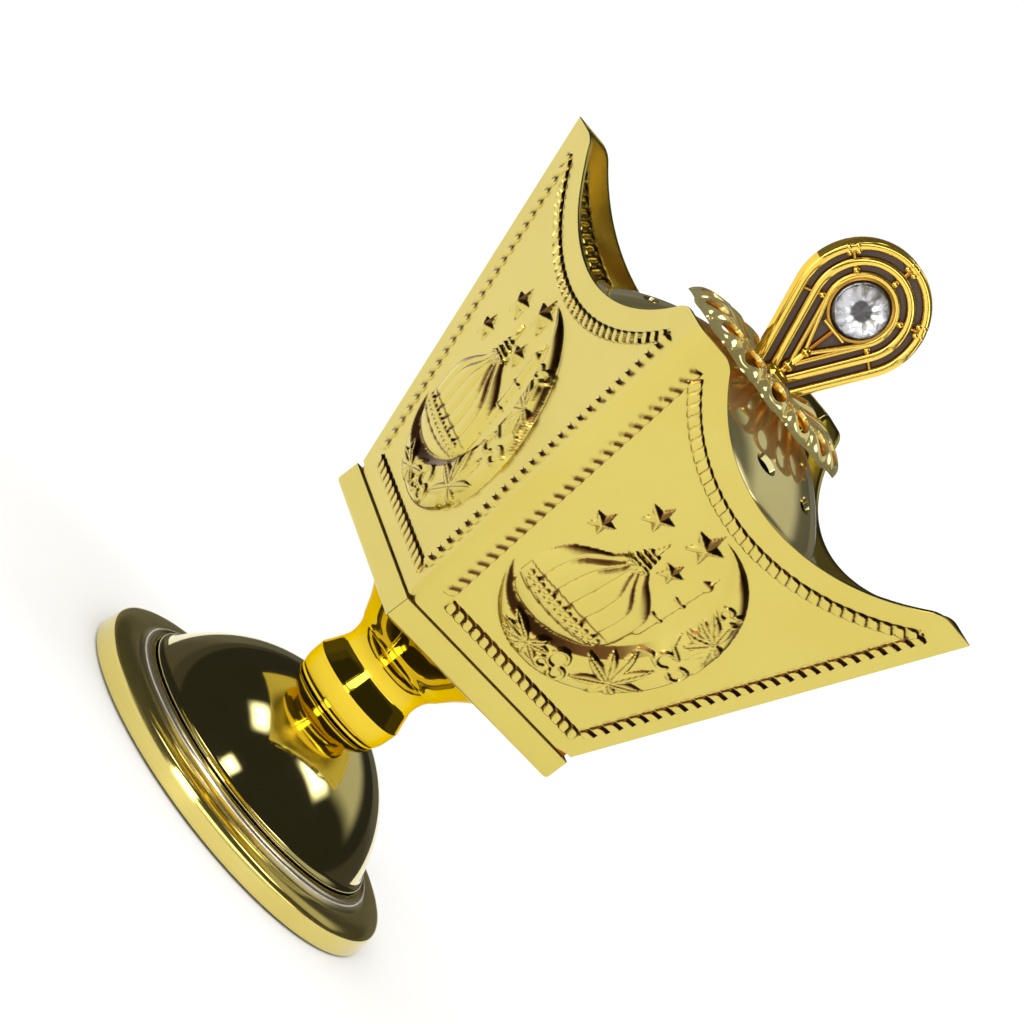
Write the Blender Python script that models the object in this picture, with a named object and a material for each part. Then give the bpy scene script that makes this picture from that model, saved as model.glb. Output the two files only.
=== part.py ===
"""Square incense burner on a round foot, as an assembly of separate pieces.

Metres, +Z up. The origin is the centre of the foot's underside, and the square body's faces
are square to X and Y. One object is made for each physical piece.
"""

import math

import bmesh
import bpy
from mathutils import Matrix, Vector

MM = 0.001
GAP = 0.3 * MM  # clearance kept between pieces that touch

# Foot
FOOT_PAD_R = 36.6 * MM
FOOT_PAD_HOLE_R = 30.0 * MM
FOOT_PAD_T = 0.9 * MM
RIM_R_BOTTOM = 38.15 * MM
RIM_R_TOP = 37.8 * MM
RIM_BOTTOM_Z = 0.45 * MM
RIM_TOP_Z = 4.4 * MM
SHEET_T = 0.8 * MM
DOME_R = 30.9 * MM
DOME_CENTRE_Z = -4.2 * MM
DOME_FOOT_R = 28.4 * MM
DOME_FOOT_Z = 4.6 * MM
DOME_FOOT_EDGE_Z = 5.2 * MM
CROWN_R = 9.8 * MM
RIM_EDGE_R = 1.2 * MM
RIM_FLANGE_R = 33.0 * MM
RIM_BEAD_RING_R = 30.6 * MM
RIM_BEAD_R = 0.95 * MM

# Stem and its clamp
STEM_FOOT_Z = 25.3 * MM
STEM_TOP_R = 17.2 * MM
STEM_PROFILE_MM = (
    (10.1, 25.3), (10.1, 25.9), (10.4, 26.3), (10.7, 27.6), (10.85, 29.3), (10.9, 31.0),
    (9.35, 34.6), (9.2, 35.6), (9.2, 36.7), (9.55, 38.4), (10.2, 39.7), (10.95, 40.7),
    (11.4, 41.5), (12.3, 43.0), (13.6, 44.6), (15.4, 46.6), (17.0, 48.0),
)
ROD_R = 3.0 * MM
ROD_BORE_R = 3.4 * MM
ROD_BOTTOM_Z = 15.0 * MM
ROD_TOP_Z = 58.0 * MM
WASHER_R = 8.0 * MM
WASHER_T = 1.0 * MM
NUT_FLATS = 10.0 * MM
NUT_H = 5.0 * MM

# Square tray and flared body
TRAY_HALF = 23.95 * MM
TRAY_BOTTOM_Z = 49.06 * MM
TRAY_TOP_Z = 54.2 * MM
BODY_BOTTOM_Z = TRAY_TOP_Z + GAP
BODY_TOP_Z = 124.4 * MM
BODY_HALF_BOTTOM = 23.5 * MM
BODY_HALF_TOP = 42.4 * MM
BODY_WALL = 1.0 * MM
BODY_BEND_R = 2.0 * MM
SCOOP_R = 50.0 * MM
SCOOP_LOW_Z = 111.6 * MM
SHOULDER_R = 6.0 * MM
SEAM_RAISE = 0.9 * MM
SEAM_FROM = 0.8  # share of the face's half width where the foot starts to rise
SEAM_RAMP = 0.18
TAB_X = 2.5 * MM
TAB_HALF_WIDTH = 1.1 * MM
TAB_DEPTH = 3.0 * MM
TAB_ROOT = 0.7 * MM

# Deck plate, bowl and lid
DECK_Z = 107.6 * MM
DECK_T = 0.8 * MM
DECK_HALF = 36.4 * MM
DECK_CHAMFER = 2.5 * MM
DECK_HOLE_R = 29.1 * MM
BOWL_R = 28.8 * MM
BOWL_FLOOR_R = 17.0 * MM
BOWL_FLOOR_Z = 87.0 * MM
BOWL_FLANGE_R = 31.6 * MM
BOWL_WALL = 0.8 * MM
BOWL_CORNER_R = 5.0 * MM
BOWL_NECK = 2.0 * MM
LID_R = 42.85 * MM
LID_CENTRE_Z = 80.7 * MM
LID_EDGE_R = 30.0 * MM
LID_LIP_R = 32.2 * MM
LID_LIP_T = 0.9 * MM
LID_WALL = 0.9 * MM
LID_SKIRT_R = 27.3 * MM
LID_SKIRT_DEPTH = 2.6 * MM
LID_HOLE_R = 2.2 * MM
SMOKE_HOLES = 10
SMOKE_HOLE_RING_R = 24.0 * MM
SMOKE_HOLE_LONG = 2.65 * MM
SMOKE_HOLE_SHORT = 1.25 * MM
SMOKE_HOLE_TURN = math.radians(-93.4)

# Flower cap and finial
PETALS = 16
FLOWER_R = 21.6 * MM
FLOWER_T = 0.8 * MM
FLOWER_LEVEL_R = 5.6 * MM
FLOWER_CENTRE_Z = 123.85 * MM
FLOWER_ARCH = 7.6 * MM
FLOWER_DROOP = 9.4 * MM
FLOWER_SCALLOP = 1.3 * MM
FLOWER_HOLE_R = 2.0 * MM
PETAL_OPENINGS_MM = ((18.0, 2.3, 1.9), (11.6, 2.9, 1.1))  # ring radius, half length, half width
FLOWER_LOW_Z = 118.0 * MM
FLOWER_HIGH_Z = 132.0 * MM
FINIAL_TURN = math.radians(-12.6)
FINIAL_FOOT_Z = 124.95 * MM
CRYSTAL_Z = 144.2 * MM
FINIAL_R = 12.8 * MM
FINIAL_TAPER = math.radians(24.5)
FINIAL_T = 3.6 * MM
FINIAL_RIM_INNER_R = 11.3 * MM
MIDDLE_WIRE_R = (9.8 * MM, 8.2 * MM)
INNER_WIRE_R = (6.8 * MM, 5.6 * MM)
WIRE_T = 3.2 * MM
INNER_WIRE_T = 3.0 * MM
PLATE_R = 12.0 * MM
PLATE_T = 2.0 * MM
BAR_DEGREES = (90.0, 30.0, 150.0, -28.0, 208.0)
BAR_FROM_R = 6.2 * MM
BAR_TO_R = 12.2 * MM
BAR_WIDTH = 0.9 * MM
BAR_T = 2.7 * MM
BOSS_R = 3.0 * MM
BOSS_H = 1.8 * MM
BOSS_BORE_DEPTH = 1.4 * MM
CRYSTAL_R = 5.1 * MM
CRYSTAL_TABLE_R = 2.2 * MM
CRYSTAL_CROWN_R = 3.7 * MM
CRYSTAL_GIRDLE_H = 0.7 * MM
CRYSTAL_CROWN_H = 1.6 * MM
CRYSTAL_H = 2.1 * MM
SCREW_R = 1.45 * MM
SCREW_BORE_R = 1.75 * MM
SCREW_DEPTH = 1.1 * MM
LID_WASHER_R = 5.0 * MM
LID_WASHER_T = 0.8 * MM
SCREW_HEAD_R = 3.0 * MM
SCREW_HEAD_H = 1.8 * MM
SCREW_HEAD_CHAMFER = 0.6 * MM

ROUND_STEPS = 48
SMALL_ROUND_STEPS = 32
SCREW_STEPS = 24


def clear_scene():
    for obj in list(bpy.data.objects):
        bpy.data.objects.remove(obj, do_unlink=True)


def material(name, colour, metallic, roughness, transmission=0.0):
    made = bpy.data.materials.new(name)
    made.use_nodes = True
    shader = made.node_tree.nodes["Principled BSDF"]
    shader.inputs["Base Color"].default_value = (*colour, 1.0)
    shader.inputs["Metallic"].default_value = metallic
    shader.inputs["Roughness"].default_value = roughness
    shader.inputs["Transmission Weight"].default_value = transmission
    return made


def mesh_object(name, bm, finish, smooth_angle=35.0):
    """A new object from the bmesh, with its faces turned out."""
    bmesh.ops.recalc_face_normals(bm, faces=bm.faces[:])
    mesh = bpy.data.meshes.new(name)
    bm.to_mesh(mesh)
    bm.free()
    mesh.shade_smooth()
    mesh.set_sharp_from_angle(angle=math.radians(smooth_angle))
    obj = bpy.data.objects.new(name, mesh)
    bpy.context.scene.collection.objects.link(obj)
    if finish is not None:
        mesh.materials.append(finish)
    return obj


def combine(obj, tool, operation):
    """Adds a Boolean of the tool object, which becomes a hidden helper."""
    modifier = obj.modifiers.new(tool.name, "BOOLEAN")
    modifier.operation = operation
    modifier.object = tool
    tool.hide_render = True
    tool.display_type = "WIRE"


def cut(obj, tool):
    combine(obj, tool, "DIFFERENCE")


def join(obj, tool):
    combine(obj, tool, "UNION")


def ring_of(bm, radius, z, steps):
    """A ring of vertices, or one vertex where the radius is zero."""
    if radius <= 0.0:
        return [bm.verts.new((0.0, 0.0, z))]
    angles = [2.0 * math.pi * i / steps for i in range(steps)]
    return [bm.verts.new((radius * math.cos(a), radius * math.sin(a), z)) for a in angles]


def skin(bm, first, second):
    """Faces between two rings, either of which may be a single point."""
    count = max(len(first), len(second))
    for i in range(count):
        j = (i + 1) % count
        corners = [first[i % len(first)], first[j % len(first)]]
        corners += [second[j % len(second)], second[i % len(second)]]
        bm.faces.new(list(dict.fromkeys(corners)))


def turned(name, profile, finish, steps=ROUND_STEPS):
    """A turned piece. The profile is (radius, z) pairs. It closes on itself unless it
    starts and ends on the axis."""
    bm = bmesh.new()
    rings = [ring_of(bm, r, z, steps) for r, z in profile]
    for first, second in zip(rings, rings[1:]):
        skin(bm, first, second)
    if profile[0][0] > 0.0:
        skin(bm, rings[-1], rings[0])
    return mesh_object(name, bm, finish)


def prism(name, outline, low, high, finish=None):
    """A straight prism on a flat outline of (x, y) points."""
    bm = bmesh.new()
    bottom = [bm.verts.new((x, y, low)) for x, y in outline]
    top = [bm.verts.new((x, y, high)) for x, y in outline]
    skin(bm, bottom, top)
    bm.faces.new(bottom)
    bm.faces.new(top)
    return mesh_object(name, bm, finish)


def arc(centre, radius, start, stop, steps):
    """Points along an arc, angles in degrees."""
    turns = [math.radians(start + (stop - start) * i / steps) for i in range(steps + 1)]
    return [(centre[0] + radius * math.cos(t), centre[1] + radius * math.sin(t)) for t in turns]


def oval(cx, cy, half_long, half_short, turn, steps=16):
    """An ellipse whose long axis is turned by the given angle."""
    points = []
    for i in range(steps):
        a = 2.0 * math.pi * (i + 0.5) / steps
        u = half_long * math.cos(a)
        v = half_short * math.sin(a)
        x = cx + u * math.cos(turn) - v * math.sin(turn)
        y = cy + u * math.sin(turn) + v * math.cos(turn)
        points.append((x, y))
    return points


def square_outline(half, corner, steps=4):
    """A square with rounded corners."""
    inner = half - corner
    points = []
    for quarter in range(4):
        sx = (1, -1, -1, 1)[quarter]
        sy = (1, 1, -1, -1)[quarter]
        points += arc((sx * inner, sy * inner), corner, 90 * quarter, 90 * quarter + 90, steps)
    return points


def sphere_z(centre_z, radius, r):
    return centre_z + math.sqrt(radius * radius - r * r)


def sphere_points(centre_z, radius, r_from, r_to, steps):
    """Profile points on a sphere about the axis, between two radii."""
    start = math.asin(r_from / radius)
    stop = math.asin(r_to / radius)
    angles = [start + (stop - start) * i / steps for i in range(steps + 1)]
    return [(radius * math.sin(a), centre_z + radius * math.cos(a)) for a in angles]


# ---------------------------------------------------------------- foot


def make_foot_pad(finish):
    profile = [(FOOT_PAD_HOLE_R, 0.0), (FOOT_PAD_R, 0.0), (FOOT_PAD_R, FOOT_PAD_T)]
    profile.append((FOOT_PAD_HOLE_R, FOOT_PAD_T))
    turned("foot_pad", profile, finish)


def make_base_cover(finish):
    low = FOOT_PAD_T + GAP
    high = low + SHEET_T
    profile = [(0.0, low), (FOOT_PAD_R, low), (FOOT_PAD_R, high), (0.0, high)]
    turned("base_cover", profile, finish)


def make_base_rim(finish):
    """The pressed flange with its skirt and the bead around the foot of the dome."""
    flange_z = RIM_TOP_Z + RIM_EDGE_R
    under_z = flange_z - SHEET_T
    outer = [(RIM_R_BOTTOM, RIM_BOTTOM_Z), (RIM_R_TOP, RIM_TOP_Z)]
    outer += arc((RIM_R_TOP - RIM_EDGE_R, RIM_TOP_Z), RIM_EDGE_R, 22.5, 78.75, 3)
    outer += [(RIM_FLANGE_R, flange_z + 0.05 * MM)]
    outer += arc((RIM_BEAD_RING_R, flange_z + 0.5 * MM), RIM_BEAD_R, 0, 180, 6)
    inner = [(RIM_BEAD_RING_R - RIM_BEAD_R, under_z), (RIM_FLANGE_R, under_z)]
    inner += [(RIM_R_TOP - RIM_EDGE_R, under_z), (RIM_R_TOP - SHEET_T, RIM_TOP_Z)]
    inner += [(RIM_R_BOTTOM - SHEET_T, RIM_BOTTOM_Z)]
    turned("base_rim", outer + inner, finish)


def make_base_dome(finish):
    """The spun dome, open below, with a hole for the rod in its flat crown."""
    crown_z = sphere_z(DOME_CENTRE_Z, DOME_R, CROWN_R)
    foot_z = sphere_z(DOME_CENTRE_Z, DOME_R, DOME_FOOT_R)
    outer = [(DOME_FOOT_R - GAP, DOME_FOOT_Z), (DOME_FOOT_R, DOME_FOOT_EDGE_Z)]
    outer += sphere_points(DOME_CENTRE_Z, DOME_R, DOME_FOOT_R, CROWN_R, 8)
    outer += [(ROD_BORE_R, crown_z), (ROD_BORE_R, crown_z - SHEET_T)]
    inner = sphere_points(DOME_CENTRE_Z, DOME_R - SHEET_T, CROWN_R, DOME_FOOT_R - SHEET_T, 7)
    inner[0] = (CROWN_R, crown_z - SHEET_T)
    inner += [(DOME_FOOT_R - SHEET_T - GAP, DOME_FOOT_Z)]
    dome = turned("base_dome", outer + inner, finish)
    lip_r = DOME_FOOT_R + 0.85 * MM
    lip_low = foot_z - 0.5 * MM
    lip = [(DOME_FOOT_R - 0.4 * MM, lip_low), (lip_r, lip_low), (lip_r, foot_z + 0.15 * MM)]
    lip += [(DOME_FOOT_R - 0.5 * MM, foot_z + 0.4 * MM)]
    join(dome, turned("base_dome_lip", lip, None))


# ---------------------------------------------------------------- stem and clamp


def make_stem(finish):
    """Turned baluster: drum, cone, waist and two coves that spread under the tray."""
    top = TRAY_BOTTOM_Z - GAP
    profile = [(r * MM, z * MM) for r, z in STEM_PROFILE_MM]
    profile += [(STEM_TOP_R, top), (ROD_BORE_R, top), (ROD_BORE_R, STEM_FOOT_Z)]
    turned("stem", profile, finish)


def make_tie_rod(finish):
    chamfer = 0.5 * MM
    profile = [(0.0, ROD_BOTTOM_Z), (ROD_R - chamfer, ROD_BOTTOM_Z)]
    profile += [(ROD_R, ROD_BOTTOM_Z + chamfer), (ROD_R, ROD_TOP_Z - chamfer)]
    profile += [(ROD_R - chamfer, ROD_TOP_Z), (0.0, ROD_TOP_Z)]
    turned("tie_rod", profile, finish, SMALL_ROUND_STEPS)


def make_washer(name, low, bore, radius, thick, finish):
    profile = [(bore, low), (radius, low), (radius, low + thick), (bore, low + thick)]
    turned(name, profile, finish, SMALL_ROUND_STEPS)


def make_nut(name, low, finish):
    """A hexagon nut whose bore stands for its thread."""
    corner = NUT_FLATS / math.sqrt(3.0)
    hexagon = [(corner * math.cos(a), corner * math.sin(a)) for a in
               (math.radians(60.0 * i) for i in range(6))]
    nut = prism(name, hexagon, low, low + NUT_H, finish)
    bore = [(0.0, low - MM), (ROD_BORE_R, low - MM)]
    bore += [(ROD_BORE_R, low + NUT_H + MM), (0.0, low + NUT_H + MM)]
    cut(nut, turned(name + "_bore", bore, None, SMALL_ROUND_STEPS))


def make_clamp(finish):
    """The rod's nuts and washers: one pair under the dome's crown, one in the tray."""
    crown_under = sphere_z(DOME_CENTRE_Z, DOME_R, CROWN_R) - SHEET_T
    washer_low = crown_under - GAP - WASHER_T
    make_washer("base_washer", washer_low, ROD_BORE_R, WASHER_R, WASHER_T, finish)
    make_nut("base_nut", washer_low - GAP - NUT_H, finish)
    tray_floor = TRAY_BOTTOM_Z + SHEET_T
    make_washer("tray_washer", tray_floor + GAP, ROD_BORE_R, WASHER_R, WASHER_T, finish)
    make_nut("tray_nut", tray_floor + 2.0 * GAP + WASHER_T, finish)


# ---------------------------------------------------------------- tray and body


def make_tray(finish):
    tray = prism("tray", square_outline(TRAY_HALF, 0.6 * MM, 3), TRAY_BOTTOM_Z, TRAY_TOP_Z, finish)
    hollow = square_outline(TRAY_HALF - SHEET_T, 0.4 * MM, 2)
    cut(tray, prism("tray_hollow", hollow, TRAY_BOTTOM_Z + SHEET_T, TRAY_TOP_Z + MM))
    bore = [(0.0, TRAY_BOTTOM_Z - MM), (ROD_BORE_R, TRAY_BOTTOM_Z - MM)]
    bore += [(ROD_BORE_R, TRAY_TOP_Z + 2.0 * MM), (0.0, TRAY_TOP_Z + 2.0 * MM)]
    cut(tray, turned("tray_bore", bore, None, SMALL_ROUND_STEPS))


def body_half(z):
    """Half the body's outer width at a height."""
    share = (z - BODY_BOTTOM_Z) / (BODY_TOP_Z - BODY_BOTTOM_Z)
    return BODY_HALF_BOTTOM + share * (BODY_HALF_TOP - BODY_HALF_BOTTOM)


def rim_z(across):
    """Height of the scooped rim at a distance from the middle of a face: an arc that a
    rounded shoulder joins to the level corner."""
    centre_z = SCOOP_LOW_Z + SCOOP_R
    drop = centre_z - BODY_TOP_Z + SHOULDER_R
    reach = SCOOP_R + SHOULDER_R
    shoulder_x = math.sqrt(reach * reach - drop * drop)
    across = abs(across)
    if across < shoulder_x * SCOOP_R / reach:
        return centre_z - math.sqrt(SCOOP_R**2 - across**2)
    if across < shoulder_x:
        return BODY_TOP_Z - SHOULDER_R + math.sqrt(SHOULDER_R**2 - (shoulder_x - across) ** 2)
    return BODY_TOP_Z


def sheet_point(part, along, half, bend):
    """A point of the bent sheet's outline in plan. It runs down the -X face, round the bend
    and out along the -Y face. Returns x, y and the distance from the middle of the face."""
    start = -(half - bend)
    end = half - 0.5 * GAP
    if part == "bend":
        turn = math.pi + along * 0.5 * math.pi
        x = start + bend * math.cos(turn)
        y = start + bend * math.sin(turn)
        return x, y, half
    across = start + along * (end - start)
    if part == "south":
        return across, -half, across
    return -half, across, across


def sheet_columns():
    """Where the sheet's wall is divided: closer together at the shoulders."""
    faces = 28
    shares = [0.5 - 0.5 * math.cos(math.pi * i / faces) for i in range(faces + 1)]
    columns = [("west", 1.0 - s) for s in shares]
    columns += [("bend", i / 4.0) for i in range(1, 4)]
    return columns + [("south", s) for s in shares]


def sheet_wall(part, along, inset):
    """The foot and the rim point of the wall, inset from the outer face."""
    bend = BODY_BEND_R - inset
    top = BODY_TOP_Z
    for _ in range(30):
        top = rim_z(sheet_point(part, along, body_half(top), BODY_BEND_R)[2])
    x, y, _ = sheet_point(part, along, body_half(top) - inset, bend)
    rim = (x, y, top)
    x, y, across = sheet_point(part, along, BODY_HALF_BOTTOM - inset, bend)
    lift = min(1.0, max(0.0, (across / BODY_HALF_BOTTOM - SEAM_FROM) / SEAM_RAMP))
    lift = 0.0 if part == "bend" else lift * SEAM_RAISE
    return (x, y, BODY_BOTTOM_Z + lift), rim


def make_body_sheet(name, turn, finish):
    """One of the two pressed sheets, each bent to two faces, with a tab under each face."""
    bm = bmesh.new()
    loops = []
    for part, along in sheet_columns():
        outer_foot, outer_rim = sheet_wall(part, along, 0.0)
        inner_foot, inner_rim = sheet_wall(part, along, BODY_WALL)
        corners = (outer_foot, outer_rim, inner_rim, inner_foot)
        loops.append([bm.verts.new(corner) for corner in corners])
    for first, second in zip(loops, loops[1:]):
        skin(bm, first, second)
    bm.faces.new(loops[0])
    bm.faces.new(loops[-1])
    bmesh.ops.rotate(bm, matrix=Matrix.Rotation(turn, 3, "Z"), verts=bm.verts[:])
    sheet = mesh_object(name, bm, finish, 20.0)
    for side in range(2):
        join(sheet, make_tab(f"{name}_tab_{side}", turn + side * math.pi / 2.0))
    return sheet


def make_tab(name, turn):
    """A tab that stands down inside the tray's wall from the foot of the -X face."""
    outside = TRAY_HALF - SHEET_T - GAP
    inside = outside - SHEET_T
    low = BODY_BOTTOM_Z - TAB_DEPTH
    high = BODY_BOTTOM_Z + TAB_ROOT
    outline = [(-outside, TAB_X - TAB_HALF_WIDTH), (-inside, TAB_X - TAB_HALF_WIDTH)]
    outline += [(-inside, TAB_X + TAB_HALF_WIDTH), (-outside, TAB_X + TAB_HALF_WIDTH)]
    tab = prism(name, outline, low, high)
    tab.data.transform(Matrix.Rotation(turn, 4, "Z"))
    return tab


# ---------------------------------------------------------------- deck, bowl and lid


def make_deck(finish):
    """The square plate that drops into the flared body and carries the bowl."""
    long = DECK_HALF
    short = DECK_HALF - DECK_CHAMFER
    outline = []
    for quarter in range(4):
        turn = Matrix.Rotation(quarter * math.pi / 2.0, 2)
        for corner in ((long, -short), (long, short)):
            point = turn @ Vector(corner)
            outline.append((point.x, point.y))
    deck = prism("deck_plate", outline, DECK_Z, DECK_Z + DECK_T, finish)
    hole = [(0.0, DECK_Z - MM), (DECK_HOLE_R, DECK_Z - MM)]
    hole += [(DECK_HOLE_R, DECK_Z + DECK_T + MM), (0.0, DECK_Z + DECK_T + MM)]
    cut(deck, turned("deck_hole", hole, None))


def make_bowl(finish):
    """The charcoal bowl: its flange rests on the deck plate."""
    flange_z = DECK_Z + DECK_T + GAP
    centre = (BOWL_FLOOR_R, BOWL_FLOOR_Z + BOWL_CORNER_R)
    inner_r = BOWL_R - BOWL_WALL
    outer = [(0.0, BOWL_FLOOR_Z)] + arc(centre, BOWL_CORNER_R, -90, -20, 5)
    outer += [(BOWL_R, flange_z - BOWL_NECK), (BOWL_R, flange_z), (BOWL_FLANGE_R, flange_z)]
    inner = [(BOWL_FLANGE_R, flange_z + BOWL_WALL), (inner_r, flange_z + BOWL_WALL)]
    inner += [(inner_r, flange_z - BOWL_NECK)]
    inner += arc(centre, BOWL_CORNER_R - BOWL_WALL, -20, -90, 5)
    inner += [(0.0, BOWL_FLOOR_Z + BOWL_WALL)]
    turned("charcoal_bowl", outer + inner, finish)


def make_lid(finish):
    """The domed lid: a flat lip on the bowl, a skirt that centres it, and smoke holes."""
    lip_z = DECK_Z + DECK_T + GAP + BOWL_WALL + GAP
    skirt_z = lip_z - LID_SKIRT_DEPTH
    skirt_inner_r = LID_SKIRT_R - LID_WALL
    outer = [(LID_SKIRT_R, skirt_z), (LID_SKIRT_R, lip_z), (LID_LIP_R, lip_z)]
    outer += [(LID_LIP_R, lip_z + LID_LIP_T), (LID_EDGE_R + 0.6 * MM, lip_z + MM)]
    outer += sphere_points(LID_CENTRE_Z, LID_R, LID_EDGE_R, LID_HOLE_R, 8)
    inner = sphere_points(LID_CENTRE_Z, LID_R - LID_WALL, LID_HOLE_R, skirt_inner_r, 7)
    inner += [(skirt_inner_r, skirt_z)]
    lid = turned("lid_dome", outer + inner, finish, 60)
    for i in range(SMOKE_HOLES):
        turn = SMOKE_HOLE_TURN + 2.0 * math.pi * i / SMOKE_HOLES
        x = SMOKE_HOLE_RING_R * math.cos(turn)
        y = SMOKE_HOLE_RING_R * math.sin(turn)
        hole = oval(x, y, SMOKE_HOLE_LONG, SMOKE_HOLE_SHORT, turn + math.pi / 2.0, 12)
        cut(lid, prism(f"smoke_hole_{i}", hole, lip_z + MM, BODY_TOP_Z))


# ---------------------------------------------------------------- flower cap and finial


def flower_z(r):
    """Underside of the flower cap: level centre, an arch, then drooping petal tips."""
    share = max(0.0, r - FLOWER_LEVEL_R) / (FLOWER_R - FLOWER_LEVEL_R)
    return FLOWER_CENTRE_Z + FLOWER_ARCH * share**2 - FLOWER_DROOP * share**4


def flower_edge(angle):
    """Scalloped outline, one scallop for each petal."""
    return FLOWER_R - FLOWER_SCALLOP * abs(math.sin(0.5 * PETALS * angle)) ** 1.5


def make_flower_cap(finish):
    """The pressed cap: a bore for the screw, and two openings along each petal."""
    steps = PETALS * 6
    shares = (0.0, 0.35, 0.58, 0.78, 0.92, 1.0)
    bm = bmesh.new()
    layers = []
    for lift in (0.0, FLOWER_T):
        rings = []
        for share in shares:
            ring = []
            for i in range(steps):
                a = 2.0 * math.pi * (i + 0.5) / steps
                r = FLOWER_HOLE_R + share * (flower_edge(a) - FLOWER_HOLE_R)
                ring.append(bm.verts.new((r * math.cos(a), r * math.sin(a), flower_z(r) + lift)))
            rings.append(ring)
        layers.append(rings)
    for rings in layers:
        for first, second in zip(rings, rings[1:]):
            skin(bm, first, second)
    skin(bm, layers[0][0], layers[1][0])
    skin(bm, layers[0][-1], layers[1][-1])
    flower = mesh_object("flower_cap", bm, finish)
    for i in range(PETALS):
        turn = 2.0 * math.pi * i / PETALS
        for number, (r, half_long, half_short) in enumerate(PETAL_OPENINGS_MM):
            x = r * MM * math.cos(turn)
            y = r * MM * math.sin(turn)
            hole = oval(x, y, half_long * MM, half_short * MM, turn, 8)
            cut(flower, prism(f"petal_hole_{i}_{number}", hole, FLOWER_LOW_Z, FLOWER_HIGH_Z))


def teardrop(radius, foot_z):
    """Outline in the finial's plane, (across, z): a round head about the crystal with two
    straight sides that draw together and are cut off level near the foot."""
    start = -math.degrees(FINIAL_TAPER)
    head = arc((0.0, CRYSTAL_Z), radius, start, 180.0 - start, 20)
    apex_z = CRYSTAL_Z - radius / math.sin(FINIAL_TAPER)
    least = 0.3 * MM
    foot_z = max(foot_z, apex_z + least / math.tan(FINIAL_TAPER))
    half = (foot_z - apex_z) * math.tan(FINIAL_TAPER)
    return [(half, foot_z)] + head + [(-half, foot_z)]


def teardrop_slab(name, outer, thickness, finish=None, inner=None):
    """A slab of the finial on a teardrop outline, with or without a teardrop opening."""
    bm = bmesh.new()
    loops = []
    for outline in (outer, inner):
        if outline is None:
            continue
        for depth in (-0.5 * thickness, 0.5 * thickness):
            loops.append([bm.verts.new((x, depth, z)) for x, z in outline])
    skin(bm, loops[0], loops[1])
    if inner is None:
        bm.faces.new(loops[0])
        bm.faces.new(loops[1])
    else:
        skin(bm, loops[2], loops[3])
        skin(bm, loops[0], loops[2])
        skin(bm, loops[1], loops[3])
    return mesh_object(name, bm, finish)


def finial_bar(name, turn):
    """A short bar along a ray from the crystal, which crosses the channels."""
    bm = bmesh.new()
    bmesh.ops.create_cube(bm, size=1.0)
    bmesh.ops.scale(bm, vec=(BAR_TO_R - BAR_FROM_R, BAR_T, BAR_WIDTH), verts=bm.verts[:])
    bmesh.ops.translate(bm, vec=(0.5 * (BAR_FROM_R + BAR_TO_R), 0.0, 0.0), verts=bm.verts[:])
    bmesh.ops.rotate(bm, matrix=Matrix.Rotation(-turn, 3, "Y"), verts=bm.verts[:])
    bmesh.ops.translate(bm, vec=(0.0, 0.0, CRYSTAL_Z), verts=bm.verts[:])
    return mesh_object(name, bm, None)


def make_finial(finish):
    """The cast teardrop: a plate with three raised wires, cross bars and a screw boss."""
    foot = FINIAL_FOOT_Z
    outline = teardrop(FINIAL_R, foot)
    opening = teardrop(FINIAL_RIM_INNER_R, foot + 1.2 * MM)
    rim = teardrop_slab("finial", outline, FINIAL_T, finish, opening)
    join(rim, teardrop_slab("finial_plate", teardrop(PLATE_R, foot + 0.4 * MM), PLATE_T))
    outline = teardrop(MIDDLE_WIRE_R[0], foot + 0.6 * MM)
    opening = teardrop(MIDDLE_WIRE_R[1], foot + 2.0 * MM)
    join(rim, teardrop_slab("finial_middle_wire", outline, WIRE_T, None, opening))
    outline = teardrop(INNER_WIRE_R[0], foot + 2.0 * MM)
    opening = teardrop(INNER_WIRE_R[1], foot + 3.0 * MM)
    join(rim, teardrop_slab("finial_inner_wire", outline, INNER_WIRE_T, None, opening))
    for number, degrees in enumerate(BAR_DEGREES):
        join(rim, finial_bar(f"finial_bar_{number}", math.radians(degrees)))
    boss_low = foot - 0.01 * MM
    boss = [(0.0, boss_low), (BOSS_R, boss_low), (BOSS_R, foot + BOSS_H), (0.0, foot + BOSS_H)]
    join(rim, turned("finial_boss", boss, None, SCREW_STEPS))
    bore_top = foot + BOSS_BORE_DEPTH
    bore = [(0.0, foot - MM), (SCREW_BORE_R, foot - MM), (SCREW_BORE_R, bore_top), (0.0, bore_top)]
    cut(rim, turned("finial_bore", bore, None, SCREW_STEPS))
    for obj in [rim] + [modifier.object for modifier in rim.modifiers]:
        obj.data.transform(Matrix.Rotation(FINIAL_TURN, 4, "Z"))


def make_crystal(name, side, finish):
    """A cut stone set on one face of the finial, with its table outwards."""
    back = 0.5 * PLATE_T + GAP
    front = back + CRYSTAL_H
    profile = [(0.0, back), (CRYSTAL_R - 0.5 * MM, back), (CRYSTAL_R, back + CRYSTAL_GIRDLE_H)]
    profile += [(CRYSTAL_CROWN_R, back + CRYSTAL_CROWN_H), (CRYSTAL_TABLE_R, front), (0.0, front)]
    crystal = turned(name, profile, finish, 16)
    lay = Matrix.Rotation(math.radians(90.0 * side), 4, "X")
    place = Matrix.Translation((0.0, 0.0, CRYSTAL_Z))
    crystal.data.transform(Matrix.Rotation(FINIAL_TURN, 4, "Z") @ place @ lay)


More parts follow.
